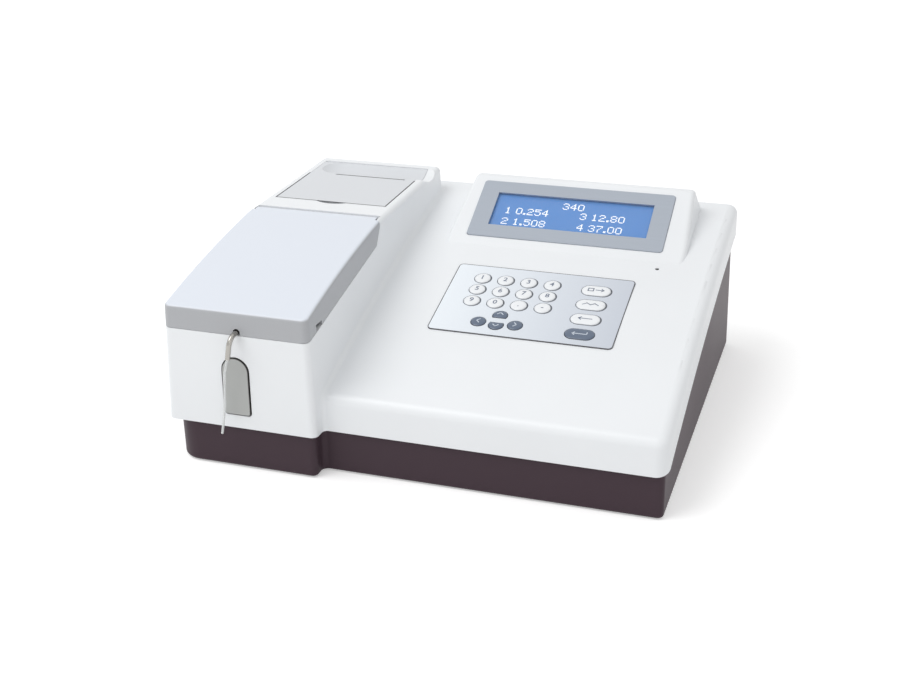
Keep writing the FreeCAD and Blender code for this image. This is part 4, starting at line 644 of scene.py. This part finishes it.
stroke_width = 0.0008
chevron_turns = {"arrow_right": 0, "arrow_up": 90, "arrow_left": 180, "arrow_down": 270}
chevron_tip = Vector((1.2, 0.0))
chevron_wings = (Vector((-0.9, 2.1)), Vector((-0.9, -2.1)))
key_signs = {
    "wide_key_1": (
        ((-6, -1.6), (-2, -1.6)), ((-2, -1.6), (-2, 1.6)), ((-2, 1.6), (-6, 1.6)),
        ((-6, 1.6), (-6, -1.6)), ((0, 0), (6, 0)), ((4.4, 1.5), (6, 0)), ((4.4, -1.5), (6, 0)),
    ),
    "wide_key_2": (((-6, -1), (-3, 1)), ((-3, 1), (0, -1)), ((0, -1), (3, 1)), ((3, 1), (6, -1))),
    "wide_key_3": (((-5, 0), (5, 0)), ((-3.2, 1.6), (-5, 0)), ((-3.2, -1.6), (-5, 0))),
    "wide_key_4": (
        ((5.5, 1.6), (5.5, -0.6)), ((5.5, -0.6), (-5.5, -0.6)),
        ((-3.9, 0.9), (-5.5, -0.6)), ((-3.9, -2.1), (-5.5, -0.6)),
    ),
}
sign_unit = 0.001


def key_place(node):
    """Middle and half sizes of a key's cap, measured on the plate, without its hidden flange."""
    left, right = reach(node, plate_face.across)
    low, high = reach(node, plate_face.up)
    x = (left + right) / 2 - plate_face.middle.dot(plate_face.across)
    y = (low + high) / 2 - plate_face.middle.dot(plate_face.up)
    return x, y, (right - left) / 2 - key_flange, (high - low) / 2 - key_flange


def cap_loop(node, half_width, half_length, inset):
    """Edge of a cap pulled in by the inset: round, long with round ends, or round with one flat."""
    if node not in ("arrow_up", "arrow_down"):
        radius = half_length - inset
        return rounded_loop(half_width - inset, radius, radius, cap_steps)
    side = 1 if node == "arrow_up" else -1
    radius = half_width - inset
    shift = (half_width - arrow_flat) / 2
    start = math.asin(-(arrow_flat - inset) / radius)
    count = (cap_steps + 1) * 4
    points = []
    for step in range(count):
        angle = start + (math.pi - 2 * start) * step / (count - 1)
        points.append((radius * math.cos(angle), side * (radius * math.sin(angle) - shift)))
    return points if side == 1 else points[::-1]


def key_cap(node, material):
    """Domed cap in place of the plain solid key."""
    x, y, half_width, half_length = key_place(node)
    corners = []
    for inset, height in cap_profile:
        loop = cap_loop(node, half_width, half_length, inset * sign_unit)
        corners += [plate_face.put(x + px, y + py, height * sign_unit) for px, py in loop]
    count = len(corners) // len(cap_profile)
    faces = [tuple(range(count))[::-1]]
    for ring in range(len(cap_profile) - 1):
        for step in range(count):
            after = (step + 1) % count
            above = ring + 1
            faces.append((
                ring * count + step,
                ring * count + after,
                above * count + after,
                above * count + step,
            ))
    faces.append(tuple(range(len(corners) - count, len(corners))))
    cap = new_piece("cap_" + node, corners, faces, material, node)
    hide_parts(node)


def key_crescent(node):
    """Dark crescent painted on the plate at the lower right of a key: a painted shadow of the raised
    key.
    """
    x, y, half_width, half_length = key_place(node)
    inner = cap_loop(node, half_width, half_length, -crescent_gap)
    corners = []
    for index, (px, py) in enumerate(inner):
        before = inner[index - 1]
        after = inner[(index + 1) % len(inner)]
        outward = Vector((after[1] - before[1], before[0] - after[0])).normalized()
        share = max(0.0, outward.dot(crescent_side)) * crescent_width + crescent_thin
        corners.append(plate_face.put(x + px, y + py, crescent_lift))
        outer_x = x + px + outward.x * share
        outer_y = y + py + outward.y * share
        corners.append(plate_face.put(outer_x, outer_y, crescent_lift))
    count = len(inner)
    faces = []
    for index in range(count):
        after = (index + 1) % count
        faces.append((index * 2, index * 2 + 1, after * 2 + 1, after * 2))
    return corners, faces


def printed_strokes(name, node, lines, material):
    """Straight printed strokes on a key's dome."""
    x, y = key_place(node)[:2]
    height = cap_profile[-1][1] * sign_unit + print_lift
    corners = []
    faces = []
    for start, end in lines:
        start = Vector(start) * sign_unit
        end = Vector(end) * sign_unit
        along = (end - start).normalized() * stroke_width / 2
        beside = Vector((-along.y, along.x))
        count = len(corners)
        for point in (
            start - along - beside,
            end + along - beside,
            end + along + beside,
            start - along + beside,
        ):
            corners.append(plate_face.put(x + point.x, y + point.y, height))
        faces.append((count, count + 1, count + 2, count + 3))
    new_piece(name, corners, faces, material, node, smooth=False)


def printed_digit(name, node, sign, material):
    """A printed digit, point or dash on a key's dome."""
    x, y = key_place(node)[:2]
    curve = bpy.data.curves.new(name, "FONT")
    curve.body = sign
    curve.size = digit_size
    curve.offset = digit_boldness
    curve.align_x = "CENTER"
    curve.align_y = "CENTER"
    curve.materials.append(material)
    digit = bpy.data.objects.new(name, curve)
    height = cap_profile[-1][1] * sign_unit + print_lift
    digit.matrix_world = Matrix.Translation(plate_face.put(x, y, height)) @ plate_face.turn()
    bpy.context.scene.collection.objects.link(digit)
    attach(digit, node)


upwards = tuple(plate_face.out)
# The caps' sides are painted darker than their tops: painted shade.
white_cap = facing_shaded_plastic(
    "white_cap_shaded_sides", key_white, key_shaded_side, cap_roughness, upwards, cap_shade_edge
)
slate_cap = facing_shaded_plastic(
    "slate_cap_shaded_sides", key_slate, slate_shaded_side, cap_roughness, upwards, cap_shade_edge
)
grey_print = moulded_plastic("grey_print", print_grey, print_roughness)
pale_print = moulded_plastic("pale_print", print_pale, print_roughness)
crescent_shadow_paint = moulded_plastic("crescent_shadow_paint", crescent_shadow_dark, print_roughness)
slate_names = ("arrow_up", "arrow_left", "arrow_down", "arrow_right", "wide_key_4")
key_names = sorted(name for name in parts if name.startswith(("key_", "wide_key_", "arrow_")))
all_corners = []
all_faces = []
for name in key_names:
    key_cap(name, slate_cap if name in slate_names else white_cap)
    print_material = pale_print if name in slate_names else grey_print
    if name in chevron_turns:
        turn = Matrix.Rotation(math.radians(chevron_turns[name]), 2)
        tip = turn @ chevron_tip
        wings = [turn @ wing for wing in chevron_wings]
        chevron = [(wings[0], tip), (tip, wings[1])]
        printed_strokes("mark_" + name, name, chevron, print_material)
    elif name in key_signs:
        printed_strokes("mark_" + name, name, key_signs[name], print_material)
    else:
        sign = {"point": ".", "extra": "-"}.get(name[4:], name[4:])
        printed_digit("mark_" + name, name, sign, print_material)
    # Each white key gets a dark crescent painted on the plate at its lower right: a painted shadow.
    if name not in slate_names:
        crescent_corners, crescent_faces = key_crescent(name)
        base = len(all_corners)
        all_corners += crescent_corners
        all_faces += [tuple(base + index for index in face) for face in crescent_faces]
new_piece("plate_key_shadows", all_corners, all_faces, crescent_shadow_paint, "case", smooth=False)


# The printer door's gap and slot shade. A thin dark band painted on the cover along the gap at the
# door's front and sides is painted shade, and a dark strip painted over the tear slot is painted shade
# for the bay's inside.
gap_shade_dark = (0.05, 0.05, 0.055)
gap_shade_roughness = 0.8
shade_band_width = 0.0009
shade_band_overlap = 0.0002
shade_band_lift = 0.00002
door_left = 0.012
door_right = 0.107
slot_left = 0.036
slot_right = 0.0975
slot_depth_from_rear = 0.035
slot_half = 0.0006


def flat_strip(corners, faces, low_x, low_y, high_x, high_y, z):
    """One level strip of a piece of painted shade."""
    start = len(corners)
    corners += [(low_x, low_y, z), (high_x, low_y, z), (high_x, high_y, z), (low_x, high_y, z)]
    faces.append((start, start + 1, start + 2, start + 3))


door_low, door_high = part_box("printer_door")
door_left_edge = case_corner.x + door_left
door_right_edge = case_corner.x + door_right
slot_y = door_high.y - slot_depth_from_rear
shade_band_left = door_left_edge - shade_band_width
shade_band_right = door_right_edge + shade_band_width
shade_band_front = door_low.y
shade_band_rear = slot_y - shade_band_width
level = case_high.z + shade_band_lift
shade_band_corners = []
shade_band_faces = []
for low_x, low_y, high_x, high_y in (
    (shade_band_left, shade_band_front - shade_band_width, shade_band_right, shade_band_front + shade_band_overlap),
    (door_right_edge - shade_band_overlap, shade_band_front, shade_band_right, shade_band_rear),
    (shade_band_left, shade_band_front, door_left_edge + shade_band_overlap, shade_band_rear),
):
    flat_strip(shade_band_corners, shade_band_faces, low_x, low_y, high_x, high_y, level)
# Painted shade: near-black strips that stand for the dark door gap and tear slot.
painted_gap_shade = moulded_plastic("painted_gap_shade", gap_shade_dark, gap_shade_roughness)
new_piece("door_gap_shade", shade_band_corners, shade_band_faces, painted_gap_shade, "case", smooth=False)
slot_corners = []
slot_faces = []
flat_strip(
    slot_corners, slot_faces, case_corner.x + slot_left, slot_y - slot_half,
    case_corner.x + slot_right, slot_y + slot_half, level
)
new_piece("tear_slot_shade", slot_corners, slot_faces, painted_gap_shade, "printer_door", smooth=False)


# The black mouldings. The mains inlet with its rocker, the printer's frame, the filter wheel, the
# paddle's switch and the little light on the panel are moulded in black plastic and screwed or
# snapped into the case.
black_moulded = (0.02, 0.02, 0.022)
black_roughness = 0.4
black = moulded_plastic("black_plastic", black_moulded, black_roughness)
for name in (
    "mains_inlet", "power_rocker", "filter_wheel", "printer_frame", "paddle_switch", "status_led"
):
    finish_part(name, black)


# The feet and the platen. Four moulded rubber feet are pressed into the floor of the tray, and the
# printer's platen is a ground rubber sleeve on its shaft.
rubber_black = (0.025, 0.025, 0.027)
rubber_roughness = 0.75
rubber_grain_depth = 0.3
rubber = moulded_plastic("black_rubber", rubber_black, rubber_roughness, depth=rubber_grain_depth)
for name in ("rubber_feet", "platen_roller"):
    finish_part(name, rubber)


# The circuit boards. Glass-fibre boards under green lacquer, screwed down inside the case, behind
# the keys and beside the flow cell.
board_green = (0.01, 0.09, 0.04)
board_roughness = 0.3
board = moulded_plastic("board_lacquer", board_green, board_roughness)
for name in ("keypad_board", "main_board", "detector_board"):
    finish_part(name, board)


# The metal housings. The power supply, the rear panel, the optical bench and the two motors have
# bead-blasted aluminium shells that are screwed to the tray or to the bay's deck.
aluminium_grey = (0.55, 0.56, 0.57)
aluminium_roughness = 0.45
grey_metal = bright_steel("blasted_aluminium", aluminium_roughness, aluminium_grey)
for name in ("power_supply", "rear_panel", "photometer_block", "filter_motor", "pump_motor"):
    finish_part(name, grey_metal)


# The steel pieces. The housing's screws, the shell of the serial port and the pump's three rollers
# are bright steel, like the sleeve.
for name in ("housing_screws", "serial_port", "pump_roller_1", "pump_roller_2", "pump_roller_3"):
    finish_part(name, steel)


# The paper roll. Plain white paper wound on itself, which lies in the well under the printer's
# door. The platen draws it up past the print head.
paper_white = (0.85, 0.85, 0.84)
paper_roughness = 0.8
paper_grain_depth = 0.1
paper = moulded_plastic("paper", paper_white, paper_roughness, depth=paper_grain_depth)
finish_part("paper_roll", paper)


# The lamp and the filters. A clear glass halogen bulb stands in the bench's upright, and the
# filters in the wheel are glass with a bright blue mirror coating.
lamp_pale = (1.0, 0.98, 0.92)
lamp_roughness = 0.05
lamp_clearness = 0.9
filter_blue = (0.25, 0.30, 0.50)
filter_roughness = 0.1
lamp_glass = clear_plastic("lamp_glass", lamp_pale, lamp_roughness, lamp_clearness)
finish_part("halogen_lamp", lamp_glass)
finish_part("filter_set", bright_steel("filter_coating", filter_roughness, filter_blue))
